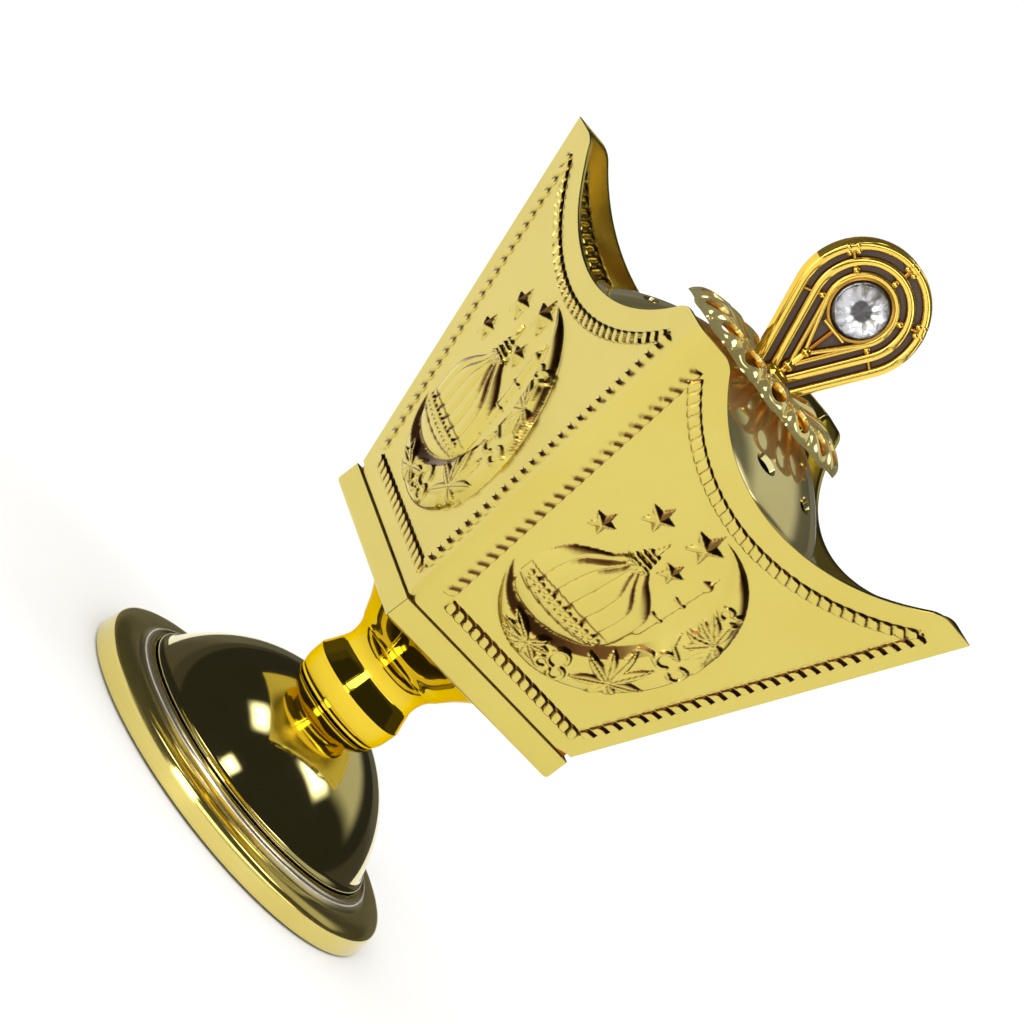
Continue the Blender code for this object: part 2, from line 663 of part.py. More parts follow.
def make_lid_screw(finish):
    """The screw from inside the lid, through the flower cap, into the finial's boss."""
    lid_under = sphere_z(LID_CENTRE_Z, LID_R - LID_WALL, LID_WASHER_R)
    head_top = lid_under - GAP - LID_WASHER_T - GAP
    head_low = head_top - SCREW_HEAD_H
    tip = FINIAL_FOOT_Z + SCREW_DEPTH
    profile = [(0.0, head_low), (SCREW_HEAD_R - SCREW_HEAD_CHAMFER, head_low)]
    profile += [(SCREW_HEAD_R, head_low + SCREW_HEAD_CHAMFER), (SCREW_HEAD_R, head_top)]
    profile += [(SCREW_R, head_top), (SCREW_R, tip), (0.0, tip)]
    turned("lid_screw", profile, finish, SCREW_STEPS)
    washer_low = head_top + GAP
    make_washer("lid_washer", washer_low, SCREW_BORE_R, LID_WASHER_R, LID_WASHER_T, finish)


def main():
    clear_scene()
    satin_gold = material("satin_gold", (0.78, 0.62, 0.24), 1.0, 0.35)
    mirror_gold = material("mirror_gold", (0.83, 0.60, 0.16), 1.0, 0.08)
    pale_mirror = material("pale_mirror_gold", (0.72, 0.60, 0.32), 1.0, 0.1)
    steel = material("zinc_steel", (0.62, 0.62, 0.6), 1.0, 0.35)
    rubber = material("black_rubber", (0.03, 0.03, 0.03), 0.0, 0.7)
    crystal = material("crystal", (0.95, 0.97, 1.0), 0.0, 0.02, 1.0)

    make_foot_pad(rubber)
    make_base_cover(steel)
    make_base_rim(satin_gold)
    make_base_dome(pale_mirror)
    make_stem(mirror_gold)
    make_tie_rod(steel)
    make_clamp(steel)
    make_tray(satin_gold)
    make_body_sheet("body_sheet_front", 0.0, satin_gold)
    make_body_sheet("body_sheet_back", math.pi, satin_gold)
    make_deck(satin_gold)
    make_bowl(steel)
    make_lid(pale_mirror)
    make_lid_screw(steel)
    make_flower_cap(pale_mirror)
    make_finial(mirror_gold)
    make_crystal("crystal_front", 1, crystal)
    make_crystal("crystal_back", -1, crystal)


main()
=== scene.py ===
"""Looks of a square gold-plated incense burner: embossed body sheets, spun foot, cast stem,
lid with a pierced flower, and a teardrop finial with a cut stone on each face.

Lengths are millimetres until a mesh is made, and the row frame is metres with +Z up.
"""

import math

import bmesh
import bpy
import numpy as np
from mathutils import Matrix, Vector


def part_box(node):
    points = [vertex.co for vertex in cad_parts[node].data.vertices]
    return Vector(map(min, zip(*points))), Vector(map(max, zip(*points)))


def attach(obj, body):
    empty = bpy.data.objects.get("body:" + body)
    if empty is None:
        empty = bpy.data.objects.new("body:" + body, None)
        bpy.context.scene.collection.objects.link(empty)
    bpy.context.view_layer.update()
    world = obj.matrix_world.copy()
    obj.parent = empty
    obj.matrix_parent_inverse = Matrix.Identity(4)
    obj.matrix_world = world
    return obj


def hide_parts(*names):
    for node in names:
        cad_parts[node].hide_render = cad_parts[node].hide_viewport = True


MM = 0.001
TURN = 2.0 * math.pi
GAP = 0.3
MOST_SIDES = 160

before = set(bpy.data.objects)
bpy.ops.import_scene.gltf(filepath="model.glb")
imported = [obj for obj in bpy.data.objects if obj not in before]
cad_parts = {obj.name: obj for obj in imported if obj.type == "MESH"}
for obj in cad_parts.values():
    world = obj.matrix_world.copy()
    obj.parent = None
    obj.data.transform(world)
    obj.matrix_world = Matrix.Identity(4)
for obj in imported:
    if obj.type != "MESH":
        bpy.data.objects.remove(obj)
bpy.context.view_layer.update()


# ---- sizes read from the frame


def low_mm(node):
    return np.array(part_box(node)[0]) / MM


def high_mm(node):
    return np.array(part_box(node)[1]) / MM


# Foot
PAD_R = high_mm("foot_pad")[0]
RIM_R = high_mm("base_rim")[0]
RIM_BOTTOM_Z = low_mm("base_rim")[2]
FLANGE_Z = 5.6
RIM_EDGE_Z = 4.4
RIM_TOP_R = RIM_R - 0.35
SHEET_T = 0.8
DOME_R = 30.9
DOME_CENTRE_Z = -4.2
DOME_FOOT_R = 28.4
BEAD_R = 30.5
RIM_BORE_R = 29.2
CROWN_R = 9.8
ROD_BORE_R = 3.4

# Tray and body
TRAY_HALF = high_mm("tray")[0]
TRAY_BOTTOM_Z = low_mm("tray")[2]
TRAY_TOP_Z = high_mm("tray")[2]
BODY_BOTTOM_Z = TRAY_TOP_Z + 0.1
BODY_TOP_Z = high_mm("body_sheet_front")[2]
BODY_HALF_BOTTOM = 23.5
BODY_HALF_TOP = -low_mm("body_sheet_front")[0]
BODY_WALL = 1.0
BODY_BEND_R = 2.0
SCOOP_R = 50.0
SCOOP_LOW_Z = 111.6
SHOULDER_R = 6.0
SEAM_RAISE = 0.9
BODY_SLOPE = math.atan2(BODY_HALF_TOP - BODY_HALF_BOTTOM, BODY_TOP_Z - BODY_BOTTOM_Z)

# Bowl, lid, flower, finial
DECK_TOP_Z = high_mm("deck_plate")[2]
LID_R = 42.85
LID_CENTRE_Z = 80.7
LID_LIP_R = high_mm("lid_dome")[0]
LID_EDGE_R = 30.0
SMOKE_HOLES = 10
SMOKE_HOLE_RING_R = 24.0
SMOKE_HOLE_TURN = math.radians(-93.4)
SMOKE_HOLE_HALVES = (2.65, 1.25)
PETALS = 16
FLOWER_R = high_mm("flower_cap")[0]
FLOWER_LEVEL_R = 5.6
FLOWER_CENTRE_Z = 123.85
FINIAL_TURN = math.radians(-12.6)
FINIAL_FOOT_Z = 124.95
CRYSTAL_Z = high_mm("finial")[2] - 12.8
FINIAL_TAPER = math.radians(24.5)
CRYSTAL_R = 5.1


# ---- materials


def node(tree, kind, inputs, **settings):
    """A new shader node. Each of its inputs takes a value, or an output that is linked to it."""
    made = tree.nodes.new("ShaderNode" + kind)
    for name, value in settings.items():
        setattr(made, name, value)
    for socket, value in inputs.items():
        feed(tree, made.inputs[socket], value)
    return made


def feed(tree, socket, value):
    if isinstance(value, bpy.types.NodeSocket):
        tree.links.new(value, socket)
    elif socket.type == "RGBA":
        socket.default_value = (*value, 1.0)
    else:
        socket.default_value = value


def material(name, look):
    """A material whose shader inputs are what look(tree) gives."""
    made = bpy.data.materials.new(name)
    made.use_nodes = True
    tree = made.node_tree
    for socket, value in look(tree).items():
        feed(tree, tree.nodes["Principled BSDF"].inputs[socket], value)
    return made


def ramp(tree, value, low, high, low_result, high_result):
    """A soft threshold between two results."""
    inputs = {"Value": value, "From Min": low, "From Max": high, "To Min": low_result,
              "To Max": high_result}
    return node(tree, "MapRange", inputs, interpolation_type="SMOOTHSTEP").outputs["Result"]


def noise(tree, scale, detail):
    """Noise in object space. The scale is in features per metre."""
    place = node(tree, "TexCoord", {}).outputs["Object"]
    inputs = {"Vector": place, "Scale": scale, "Detail": detail}
    return node(tree, "TexNoise", inputs).outputs["Fac"]


def blend(tree, share, first, second):
    """A colour that goes from the first to the second."""
    inputs = {"Factor": share, "A": first, "B": second}
    return node(tree, "Mix", inputs, data_type="RGBA").outputs["Result"]


def bump(tree, height, strength, distance, **under):
    """A normal moved by the height, over the normal given as Normal."""
    inputs = {"Height": height, "Strength": strength, "Distance": distance, **under}
    return node(tree, "Bump", inputs).outputs["Normal"]


def metal(name, colour, deep, rough, smudge, grain=0.0, grain_scale=9000.0, shading_paint=None,
          metallic=1.0, edge=(1.0, 1.0, 1.0)):
    """Plated metal whose colour drifts to a deeper one, with smudges, faint waves and fine grain.
    The colour given for marks is blended in where the mesh's per-point shading attribute is high;
    it paints shade, highlights and reflections into the colour, piece by piece. A metallic value
    under one is a milky lacquer, and edge tints the grazing reflections."""
    def look(tree):
        drift = ramp(tree, noise(tree, 45.0, 4.0), 0.35, 0.75, 0.0, 1.0)
        finish = blend(tree, drift, colour, deep)
        roughness = ramp(tree, noise(tree, 130.0, 6.0), 0.5, 0.72, rough, rough + smudge)
        # Painted shade, highlight and reflection: the per-point attribute blends in the colour given for
        # marks.
        if shading_paint:
            painted_shading = node(tree, "Attribute", {}, attribute_name="painted_shading").outputs["Fac"]
            finish = blend(tree, painted_shading, finish, shading_paint)
            dull = node(tree, "Mix", {"Factor": painted_shading, "A": roughness, "B": SHADING_PAINT_ROUGHNESS})
            roughness = dull.outputs["Result"]
        waves = bump(tree, noise(tree, 90.0, 2.0), 0.25, 0.00006)
        grains = bump(tree, noise(tree, grain_scale, 2.0), grain, 0.00001, Normal=waves)
        return {"Base Color": finish, "Roughness": roughness, "Normal": grains,
                "Metallic": metallic, "Specular Tint": edge}

    return material(name, look)


def rubber(tree):
    grains = noise(tree, 2500.0, 4.0)
    return {"Base Color": (0.02, 0.02, 0.02), "Normal": bump(tree, grains, 0.5, 0.0001),
            "Roughness": ramp(tree, grains, 0.3, 0.7, 0.55, 0.85)}


def enamel(tree):
    """The dark matt fill in the finial's channels."""
    tone = noise(tree, 900.0, 3.0)
    return {"Base Color": blend(tree, tone, (0.085, 0.058, 0.042), (0.115, 0.080, 0.060)),
            "Roughness": ramp(tree, tone, 0.3, 0.7, 0.42, 0.6), "Specular IOR Level": 0.35}


def crystal(tree):
    return {"Base Color": (0.97, 0.98, 1.0), "Transmission Weight": 1.0, "IOR": 1.57,
            "Roughness": ramp(tree, noise(tree, 1400.0, 3.0), 0.6, 0.8, 0.0, 0.05)}


def pale_table(tree):
    return {"Base Color": blend(tree, noise(tree, 30.0, 3.0), (0.86, 0.86, 0.86), (0.90, 0.90, 0.90)),
            "Roughness": 0.8, "Specular IOR Level": 0.2}


# Roughness where painted shade, highlights and reflections are full.
SHADING_PAINT_ROUGHNESS = 0.25
# Satin gold. Its dark-brown mark colour is painted shade: in the relief's valleys, on slopes that face up,
# and inside the tray's top.
SATIN = metal("satin_gold", (0.640, 0.525, 0.132), (0.620, 0.500, 0.114), 0.21, 0.035, 0.25,
              shading_paint=(0.120, 0.040, 0.010))
MIRROR = metal("mirror_gold", (0.80, 0.57, 0.040), (0.74, 0.51, 0.025), 0.05, 0.05,
               edge=(0.80, 0.60, 0.22))
# Cast gold. Its dark-brown mark colour is painted shade on the finial's channel walls and on the body's
# tabs.
CAST = metal("cast_gold", (0.96, 0.67, 0.13), (0.92, 0.60, 0.08), 0.06, 0.05, metallic=0.92,
             shading_paint=(0.30, 0.085, 0.010), edge=(0.90, 0.75, 0.40))
# Lid gold. Its orange mark colour is a painted reflection of the flower in the lid's middle.
LID = metal("lid_gold", (0.76, 0.68, 0.32), (0.72, 0.63, 0.26), 0.06, 0.06, metallic=0.88,
            shading_paint=(0.84, 0.46, 0.05))
# Petal gold. Its orange mark colour is painted warm light on the cap's underside.
PETAL = metal("petal_gold", (0.90, 0.77, 0.33), (0.86, 0.71, 0.26), 0.07, 0.05, metallic=0.80,
              shading_paint=(0.86, 0.46, 0.025))
PALE = metal("pale_mirror_gold", (0.74, 0.65, 0.27), (0.70, 0.60, 0.22), 0.06, 0.06)
# Band gold. Its pale mark colour is a painted highlight along the rim's bead.
BAND = metal("band_gold", (0.70, 0.58, 0.175), (0.66, 0.53, 0.14), 0.10, 0.06, 0.1, metallic=0.95,
             shading_paint=(0.98, 0.90, 0.68))
STEEL = metal("zinc_steel", (0.56, 0.56, 0.55), (0.42, 0.42, 0.42), 0.30, 0.15, 0.6, 3000.0)
# Foil. Its dark grey mark colour is painted shade in the middle, seen through the stone's table.
FOIL = metal("stone_foil", (0.97, 0.97, 0.98), (0.93, 0.93, 0.95), 0.24, 0.06,
             shading_paint=(0.09, 0.085, 0.085))
RUBBER = material("black_rubber", rubber)
ENAMEL = material("taupe_enamel", enamel)
CRYSTAL = material("crystal", crystal)


# ---- meshes
# The shapes below are pairs of points and faces.


def new_mesh(name, points, faces):
    """A mesh from points in millimetres, with its faces turned outwards."""
    mesh = bpy.data.meshes.new(name)
    mesh.from_pydata((np.asarray(points, float) * MM).tolist(), [], faces)
    mesh.validate()
    bm = bmesh.new()
    bm.from_mesh(mesh)
    bmesh.ops.recalc_face_normals(bm, faces=bm.faces[:])
    bm.to_mesh(mesh)
    bm.free()
    return mesh


def new_object(name, data):
    obj = bpy.data.objects.new(name, data)
    bpy.context.scene.collection.objects.link(obj)
    return obj


def shade(mesh, sharp):
    """Smooth shading, except at edges sharper than this many degrees."""
    mesh.shade_smooth()
    mesh.set_sharp_from_angle(angle=math.radians(sharp))


def piece(name, points, faces, finish, body, slot=None, replaces=(), sharp=35.0):
    """A new piece from points in millimetres, riding on a CAD body."""
    mesh = new_mesh(name, points, faces)
    shade(mesh, sharp)
    mesh.materials.append(finish)
    obj = new_object(name, mesh)
    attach(obj, body)
    if replaces:
        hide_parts(*replaces)
    return obj


def grid_faces(rows, columns, wrap_columns=False, wrap_rows=False, first=0):
    """Quads of a grid whose points run along the columns first."""
    i, j = np.indices((rows if wrap_rows else rows - 1, columns if wrap_columns else columns - 1))
    below, beside = (i + 1) % rows, (j + 1) % columns
    quads = [i * columns + j, i * columns + beside, below * columns + beside, below * columns + j]
    return (np.stack(quads, axis=-1).reshape(-1, 4) + first).tolist()


def joined(parts):
    """Several shapes as one."""
    points, faces, count = [], [], 0
    for part_points, part_faces in parts:
        points.append(np.asarray(part_points, float))
        faces += [[index + count for index in face] for face in part_faces]
        count += len(part_points)
    return np.concatenate(points), faces


def arc(cx, cy, radius, start, stop, steps):
    """Points along an arc, angles in degrees."""
    turns = np.radians(np.linspace(start, stop, steps + 1))
    return [(cx + radius * math.cos(t), cy + radius * math.sin(t)) for t in turns]


def curve_through(points, steps=6):
    """A smooth run through the points (Catmull-Rom with its ends repeated)."""
    p = np.array([points[0], *points, points[-1]], float)
    t = np.linspace(0.0, 1.0, steps, endpoint=False)[:, None]
    found = []
    for before, start, stop, after in zip(p, p[1:], p[2:], p[3:]):
        bend = 2.0 * before - 5.0 * start + 4.0 * stop - after
        twist = 3.0 * start - before - 3.0 * stop + after
        found += (0.5 * (2.0 * start + (stop - before) * t + bend * t**2 + twist * t**3)).tolist()
    return [tuple(point) for point in found] + [tuple(points[-1])]


def supported(profile, longest=1.5, margin=0.05):
    """The profile with points close to the ends of its long runs, to keep their shading flat."""
    found = []
    closed = profile[0][0] > 0.0
    for start, stop in zip(profile, profile[1:] + (profile[:1] if closed else [])):
        found.append(start)
        length = math.dist(start, stop)
        if length > longest:
            for share in (margin / length, 1.0 - margin / length):
                found.append(tuple(a + (b - a) * share for a, b in zip(start, stop)))
    return found if closed else found + [profile[-1]]


def turned_mesh(profile, angles, ridge=None):
    """A turned shape. A profile that starts off the axis closes on itself, and ridge(angle) is
    added to the radius."""
    profile = np.array(supported(profile), float)
    radius = np.maximum(profile[:, :1], 0.0)
    if ridge:
        radius = radius + ridge(angles) * (radius > ROD_BORE_R + 1.0)
    axes = [radius * np.cos(angles), radius * np.sin(angles), profile[:, 1:] + 0.0 * angles]
    faces = grid_faces(len(profile), len(angles), True, profile[0, 0] > 0.0)
    return np.stack(axes, axis=-1).reshape(-1, 3), faces


def even_angles(sides=MOST_SIDES):
    return np.arange(sides) * TURN / sides


def turned(name, profile, finish, body, slot, replaces, angles=None, sharp=35.0, ridge=None):
    points, faces = turned_mesh(profile, even_angles() if angles is None else angles, ridge)
    obj = piece(name, points, faces, finish, body, slot, replaces, sharp)
    if profile[0][0] <= 0.0:
        weld(obj)
    return obj


def set_painted_shading(obj, share):
    """Gives each point of a piece its share of painted shading: shade, highlight and reflection painted into
    the colour.
    """
    layer = obj.data.attributes.new("painted_shading", "FLOAT", "POINT")
    layer.data.foreach_set("value", np.asarray(share, float))


def points_of(obj):
    """The piece's points in millimetres."""
    found = np.empty(3 * len(obj.data.vertices))
    obj.data.vertices.foreach_get("co", found)
    return found.reshape(-1, 3) / MM


def weld(obj):
    """Merges the points that lie together on the axis."""
    bm = bmesh.new()
    bm.from_mesh(obj.data)
    bmesh.ops.remove_doubles(bm, verts=bm.verts[:], dist=1e-7)
    bm.to_mesh(obj.data)
    bm.free()


def bar(rows):
    """A bar through rows of closed sections, with flat ends."""
    points = np.array(rows, float)
    count, last = points.shape[1], points.shape[1] * (len(rows) - 1)
    faces = grid_faces(len(rows), count, True)
    return points.reshape(-1, 3), faces + [list(range(count)), list(range(last, last + count))]


def prism_mesh(outline, low, high):
    """A straight prism on a flat outline of (x, y) points."""
    return bar([[(x, y, z) for x, y in outline] for z in (low, high)])


def quarter_axes(quarter):
    """Right, out and up of a face of the body, seen from outside. Quarter 0 faces -Y, and each
    further one is 90 degrees clockwise seen from above."""
    turn = -quarter * TURN / 4.0
    c, s = math.cos(turn), math.sin(turn)
    return np.array([(c, s, 0.0), (s, -c, 0.0), (0.0, 0.0, 1.0)])


def cut(obj, points, faces, sharp=35.0):
    """Cuts a mesh out of a piece, and keeps only the result."""
    tool = new_object("cutter", new_mesh("cutter", points, faces))
    modifier = obj.modifiers.new("cut", "BOOLEAN")
    modifier.operation = "DIFFERENCE"
    modifier.object = tool
    graph = bpy.context.evaluated_depsgraph_get()
    result = bpy.data.meshes.new_from_object(obj.evaluated_get(graph), depsgraph=graph)
    obj.modifiers.clear()
    obj.data = result
    bpy.data.objects.remove(tool, do_unlink=True)
    shade(result, sharp)


def oval(cx, cy, half_long, half_short, turn, steps):
    a = (np.arange(steps) + 0.5) * TURN / steps
    u, v = half_long * np.cos(a), half_short * np.sin(a)
    x = cx + u * math.cos(turn) - v * math.sin(turn)
    y = cy + u * math.sin(turn) + v * math.cos(turn)
    return list(zip(x, y))


def sphere_points(centre_z, radius, r_from, r_to, steps):
    """Profile points on a sphere about the axis, between two radii."""
    turns = np.linspace(math.asin(r_from / radius), math.asin(r_to / radius), steps + 1)
    return [(radius * math.sin(t), centre_z + radius * math.cos(t)) for t in turns]


def unit(value):
    """The value, kept from 0 to 1."""
    return np.clip(value, 0.0, 1.0)


def smooth(low, high, value):
    t = unit((value - low) / (high - low))
    return t * t * (3.0 - 2.0 * t)


# ---- foot


def make_pad():
    bore_r, top, corner = 29.75, 0.9, 0.25
    pad = [(bore_r + corner, 0.0), (PAD_R - corner, 0.0), (PAD_R, corner), (PAD_R, top)]
    pad += [(bore_r + corner, top), (bore_r, top - corner), (bore_r, corner)]
    turned("rubber_foot_ring", pad, RUBBER, "root", "black_rubber", ("foot_pad",))


def make_cover():
    """The plate that closes the foot, with two pressed rings."""
    low = high_mm("foot_pad")[2] + GAP
    cover = [(0.0, low)]
    for r in (10.0, 25.0):
        cover += [(r - 1.0, low), (r - 0.4, low + 0.25), (r + 0.4, low + 0.25), (r + 1.0, low)]
    cover += [(PAD_R - 0.2, low), (PAD_R, low + 0.2), (PAD_R, low + SHEET_T), (0.0, low + SHEET_T)]
    turned("steel_base_cover", cover, STEEL, "root", "zinc_steel", ("base_cover",), sharp=60.0)


def make_rim():
    """The foot's pressed rim: a skirt, a flange, and a bead round the dome."""
    top_r, edge_z, flat_z, under_z = RIM_TOP_R, RIM_EDGE_Z, FLANGE_Z, FLANGE_Z - SHEET_T
    rim = [(RIM_R - 0.45, RIM_BOTTOM_Z)]
    rim += arc(RIM_R - 0.3, RIM_BOTTOM_Z + 0.3, 0.3, -90, 0, 5)
    rim += [(top_r + 0.12, 3.0)]
    rim += curve_through([(top_r, edge_z - 0.3), (top_r - 0.18, edge_z + 0.2), (top_r - 0.75, edge_z + 0.68),
                          (top_r - 1.7, edge_z + 1.03), (top_r - 2.9, flat_z), (top_r - 4.4, flat_z + 0.06),
                          (32.2, flat_z + 0.06)], 5)
    rim += arc(BEAD_R, flat_z + 0.55, 0.8, 0, 140, 12)
    rim += arc(BEAD_R - 0.95, flat_z + 1.1, 0.35, 60, 170, 5)
    rim += [(RIM_BORE_R, flat_z + 0.4), (RIM_BORE_R, under_z), (33.0, under_z), (top_r - 1.6, under_z)]
    rim += [(top_r - 0.9, edge_z - 0.3), (RIM_R - SHEET_T, RIM_BOTTOM_Z + 0.2)]
    pressed = turned("pressed_base_rim", rim, BAND, "root", "satin_gold", ("base_rim",), sharp=40.0)
    x, y, z = points_of(pressed).T
    r = np.hypot(x, y)
    # Painted highlight: the bead takes a pale colour that stands for a white line of light along it.
    bead_highlight = smooth(BEAD_R - 0.1, BEAD_R + 0.3, r) * (r < BEAD_R + 0.85) * (z > FLANGE_Z + 0.2)
    set_painted_shading(pressed, bead_highlight)


def make_dome():
    foot_z = DOME_CENTRE_Z + math.sqrt(DOME_R**2 - DOME_FOOT_R**2)
    crown_z = DOME_CENTRE_Z + math.sqrt(DOME_R**2 - CROWN_R**2)
    dome = [(DOME_FOOT_R - 0.3, 4.65), (DOME_FOOT_R, 5.3), (DOME_FOOT_R + 0.35, foot_z - 0.55)]
    dome += arc(DOME_FOOT_R + 0.45, foot_z - 0.42, 0.4, -80, 100, 8)
    dome += sphere_points(DOME_CENTRE_Z, DOME_R, DOME_FOOT_R - 0.15, CROWN_R + 0.5, 48)
    dome += [(CROWN_R, crown_z), (ROD_BORE_R, crown_z), (ROD_BORE_R, crown_z - SHEET_T)]
    inner = sphere_points(DOME_CENTRE_Z, DOME_R - SHEET_T, CROWN_R, DOME_FOOT_R - 1.1, 12)
    dome += [(r, min(z, crown_z - SHEET_T)) for r, z in inner]
    turned("spun_dome", dome, PALE, "root", "pale_mirror_gold", ("base_dome",), sharp=50.0)


def make_stem():
    """The cast stem, with the ridge that its two-part mould leaves down opposite sides."""
    top = TRAY_BOTTOM_Z - GAP
    profile = [(ROD_BORE_R, 25.3), (9.8, 25.3)]
    profile += arc(9.95, 25.5, 0.2, -90, -10, 3)
    profile += curve_through([(10.15, 25.9), (10.42, 26.35), (10.72, 27.5), (10.86, 29.2), (10.9, 30.6)])
    profile += arc(10.68, 30.75, 0.22, 0, 40, 3)
    profile += curve_through([(10.75, 31.1), (10.15, 32.6), (9.5, 34.3)], 4)
    profile += curve_through([(9.34, 34.75), (9.2, 35.5), (9.2, 36.7), (9.5, 38.2), (10.15, 39.5),
                              (10.92, 40.5)])
    profile += curve_through([(11.05, 40.85), (11.55, 41.6), (12.4, 43.0), (13.65, 44.6),
                              (15.4, 46.5), (16.8, 47.7)])
    profile += arc(16.95, top - 0.35, 0.3, -30, 60, 4)
    profile += [(16.9, top), (ROD_BORE_R, top)]
    fine = np.radians([-2.0, -1.5, -1.1, -0.8, -0.5, -0.25, 0.0, 0.25, 0.5, 0.8, 1.1, 1.5, 2.0])
    mould = [math.radians(225.0), math.radians(45.0)]
    coarse = [a for a in even_angles(144) if min(abs(a - m) for m in mould) > math.radians(2.4)]
    angles = np.array(sorted(coarse + [m + f for m in mould for f in fine]))

    def ridge(a):
        away = np.minimum(abs(a - mould[0]), abs(a - mould[1]))
        return 0.13 * np.exp(-((away / math.radians(0.8)) ** 2))

    turned("cast_stem", profile, MIRROR, "root", "mirror_gold", ("stem",), angles, 30.0, ridge)


def make_tray():
    """A folded tray: a floor, and four walls whose corners meet with a fine open seam."""
    bend, wall, seam = 0.9, SHEET_T, 0.07
    low, high = TRAY_BOTTOM_Z, TRAY_TOP_Z
    section = [(TRAY_HALF - bend - 2.0, low)]
    section += arc(TRAY_HALF - bend, low + bend, bend, -90, 0, 8)
    section += arc(TRAY_HALF - 0.2, high - 0.2, 0.2, 0, 90, 4)
    section += arc(TRAY_HALF - wall + 0.2, high - 0.2, 0.2, 90, 180, 4)
    section += [(TRAY_HALF - wall, low + wall + 0.3), (TRAY_HALF - wall - 0.3, low + wall)]
    section += [(TRAY_HALF - bend - 2.0, low + wall)]
    section = supported(section, 0.8)
    side = np.array([[(share * (d - seam), d, z) for d, z in section]
                     for share in np.linspace(-1.0, 1.0, 9)])
    parts = [bar(side @ quarter_axes(quarter)) for quarter in range(4)]
    inner = TRAY_HALF - bend - 1.9
    parts.append(prism_mesh([(-inner, -inner), (inner, -inner), (inner, inner), (-inner, inner)],
                            low, low + wall))
    obj = piece("folded_tray", *joined(parts), SATIN, "root", "satin_gold", ("tray",), 25.0)
    bore = oval(0.0, 0.0, ROD_BORE_R, ROD_BORE_R, 0.0, 48)
    cut(obj, *prism_mesh(bore, low - 1.0, high + 1.0), 25.0)
    # Painted shade inside the top of the tray's walls, under the body's foot.
    placed = points_of(obj)
    depth = TRAY_HALF - np.abs(placed[:, :2]).max(axis=1)
    set_painted_shading(obj, smooth(0.05, 0.25, depth) * (placed[:, 2] > high - 3.0))


# ---- relief of a body panel
# The relief is a height over the panel, in millimetres, from two arrays: x to the right of
# the panel's middle as seen from outside, and z, the height above the table.


def line_distance(x, z, start, stop):
    """Distance to a straight stroke, and the share of the way along it."""
    dx, dz = stop[0] - start[0], stop[1] - start[1]
    share = unit(((x - start[0]) * dx + (z - start[1]) * dz) / (dx * dx + dz * dz))
    return np.hypot(x - start[0] - share * dx, z - start[1] - share * dz), share


def path_distance(x, z, points):
    """Distance to the nearest of the straight strokes that join the points."""
    return np.minimum.reduce([line_distance(x, z, start, stop)[0]
                              for start, stop in zip(points, points[1:])])


def ridge_of(distance, half_width):
    """Rounded cross-section of a raised stroke, from 0 to 1."""
    return np.sqrt(unit(1.0 - (distance / half_width) ** 2))


def stroke(x, z, points, half_width):
    return ridge_of(path_distance(x, z, points), half_width)


def leaf(x, z, start, stop, half_width):
    """A pointed leaf with a sunk midrib."""
    distance, share = line_distance(x, z, start, stop)
    width = half_width * np.sin(np.pi * np.clip(share, 0.04, 0.96)) ** 0.7
    return ridge_of(distance, np.maximum(width, 0.02)) * (1.0 - 0.55 * np.exp(-((distance / 0.16) ** 2)))


def leaves(x, z, heart, tips, half_width):
    return np.maximum.reduce([leaf(x, z, heart, tip, half_width) for tip in tips])


def star(x, z, cx, cz, radius):
    """A five-pointed pyramid, one point up."""
    inner = 0.46 * radius
    half = math.pi / 5.0
    a = np.abs((np.arctan2(x - cx, z - cz) + half) % (2.0 * half) - half)
    edge = radius * inner * math.sin(half) / (inner * np.sin(half - a) + radius * np.sin(a))
    return unit(1.0 - np.hypot(x - cx, z - cz) / edge)


def inside_distance(x, z, outline):
    """Distance to a closed outline, positive inside it."""
    inside = np.zeros(x.shape, bool)
    for (x0, z0), (x1, z1) in zip(outline, outline[1:] + outline[:1]):
        if z0 != z1:
            crosses = (z0 > z) != (z1 > z)
            inside ^= crosses & (x < (x1 - x0) * (z - z0) / (z1 - z0) + x0)
    nearest = path_distance(x, z, outline + outline[:1])
    return np.where(inside, nearest, -nearest)


ROPE_PITCH = 2.41
ROPE_HALF = 1.32
ROPE_HEIGHT = 0.60


def rope_height(s, t, length, rise, fall):
    """Rope of S-shaped strands, and the painted shade in the valleys between them. s runs along it,
    and t across it towards the panel's middle. A strand rises and falls over these lengths."""
    pitch = length / round(length / ROPE_PITCH)
    share = np.clip(t / ROPE_HALF, -1.0, 1.0)
    valley = -(0.50 * share + 0.80 * share**5)
    slope = (0.50 + 4.0 * share**4) / ROPE_HALF
    phase = ((s - valley) / pitch) % 1.0
    narrow = pitch / np.sqrt(1.0 + slope**2)
    strand = np.minimum(smooth(0.0, rise, phase * narrow), smooth(0.0, fall, (1.0 - phase) * narrow))
    edge = smooth(0.0, 0.40, ROPE_HALF - np.abs(t))
    ends = smooth(0.0, 0.3, s) * smooth(0.0, 0.3, length - s)
    away = np.minimum(phase, 1.0 - phase) * narrow
    # Painted shade in the valleys between strands.
    valley_shade = smooth(0.20, 0.06, away) * smooth(0.05, 0.3, ROPE_HALF - np.abs(t)) * ends
    return ROPE_HEIGHT * edge * (0.12 + 0.88 * strand) * ends, valley_shade


# Ends of the straight runs of rope, then the rise and fall of a strand, its height as a share of
# the rope's, and the strength of the painted shade in its valleys.
ROPE_RUNS = (
    ((-18.7, 58.75), (20.2, 58.75), 0.22, 0.72, 1.0, 0.9),
    ((20.3, 59.6), (36.1, 119.3), 0.22, 0.72, 1.0, 0.9),
    ((-35.7, 119.5), (-20.2, 59.8), 0.85, 0.35, 0.6, 0.30),
)
# The rim rope's rise, fall, height share and painted valley shade.
RIM_ROPE = (0.30, 0.80, 0.9, 0.45)


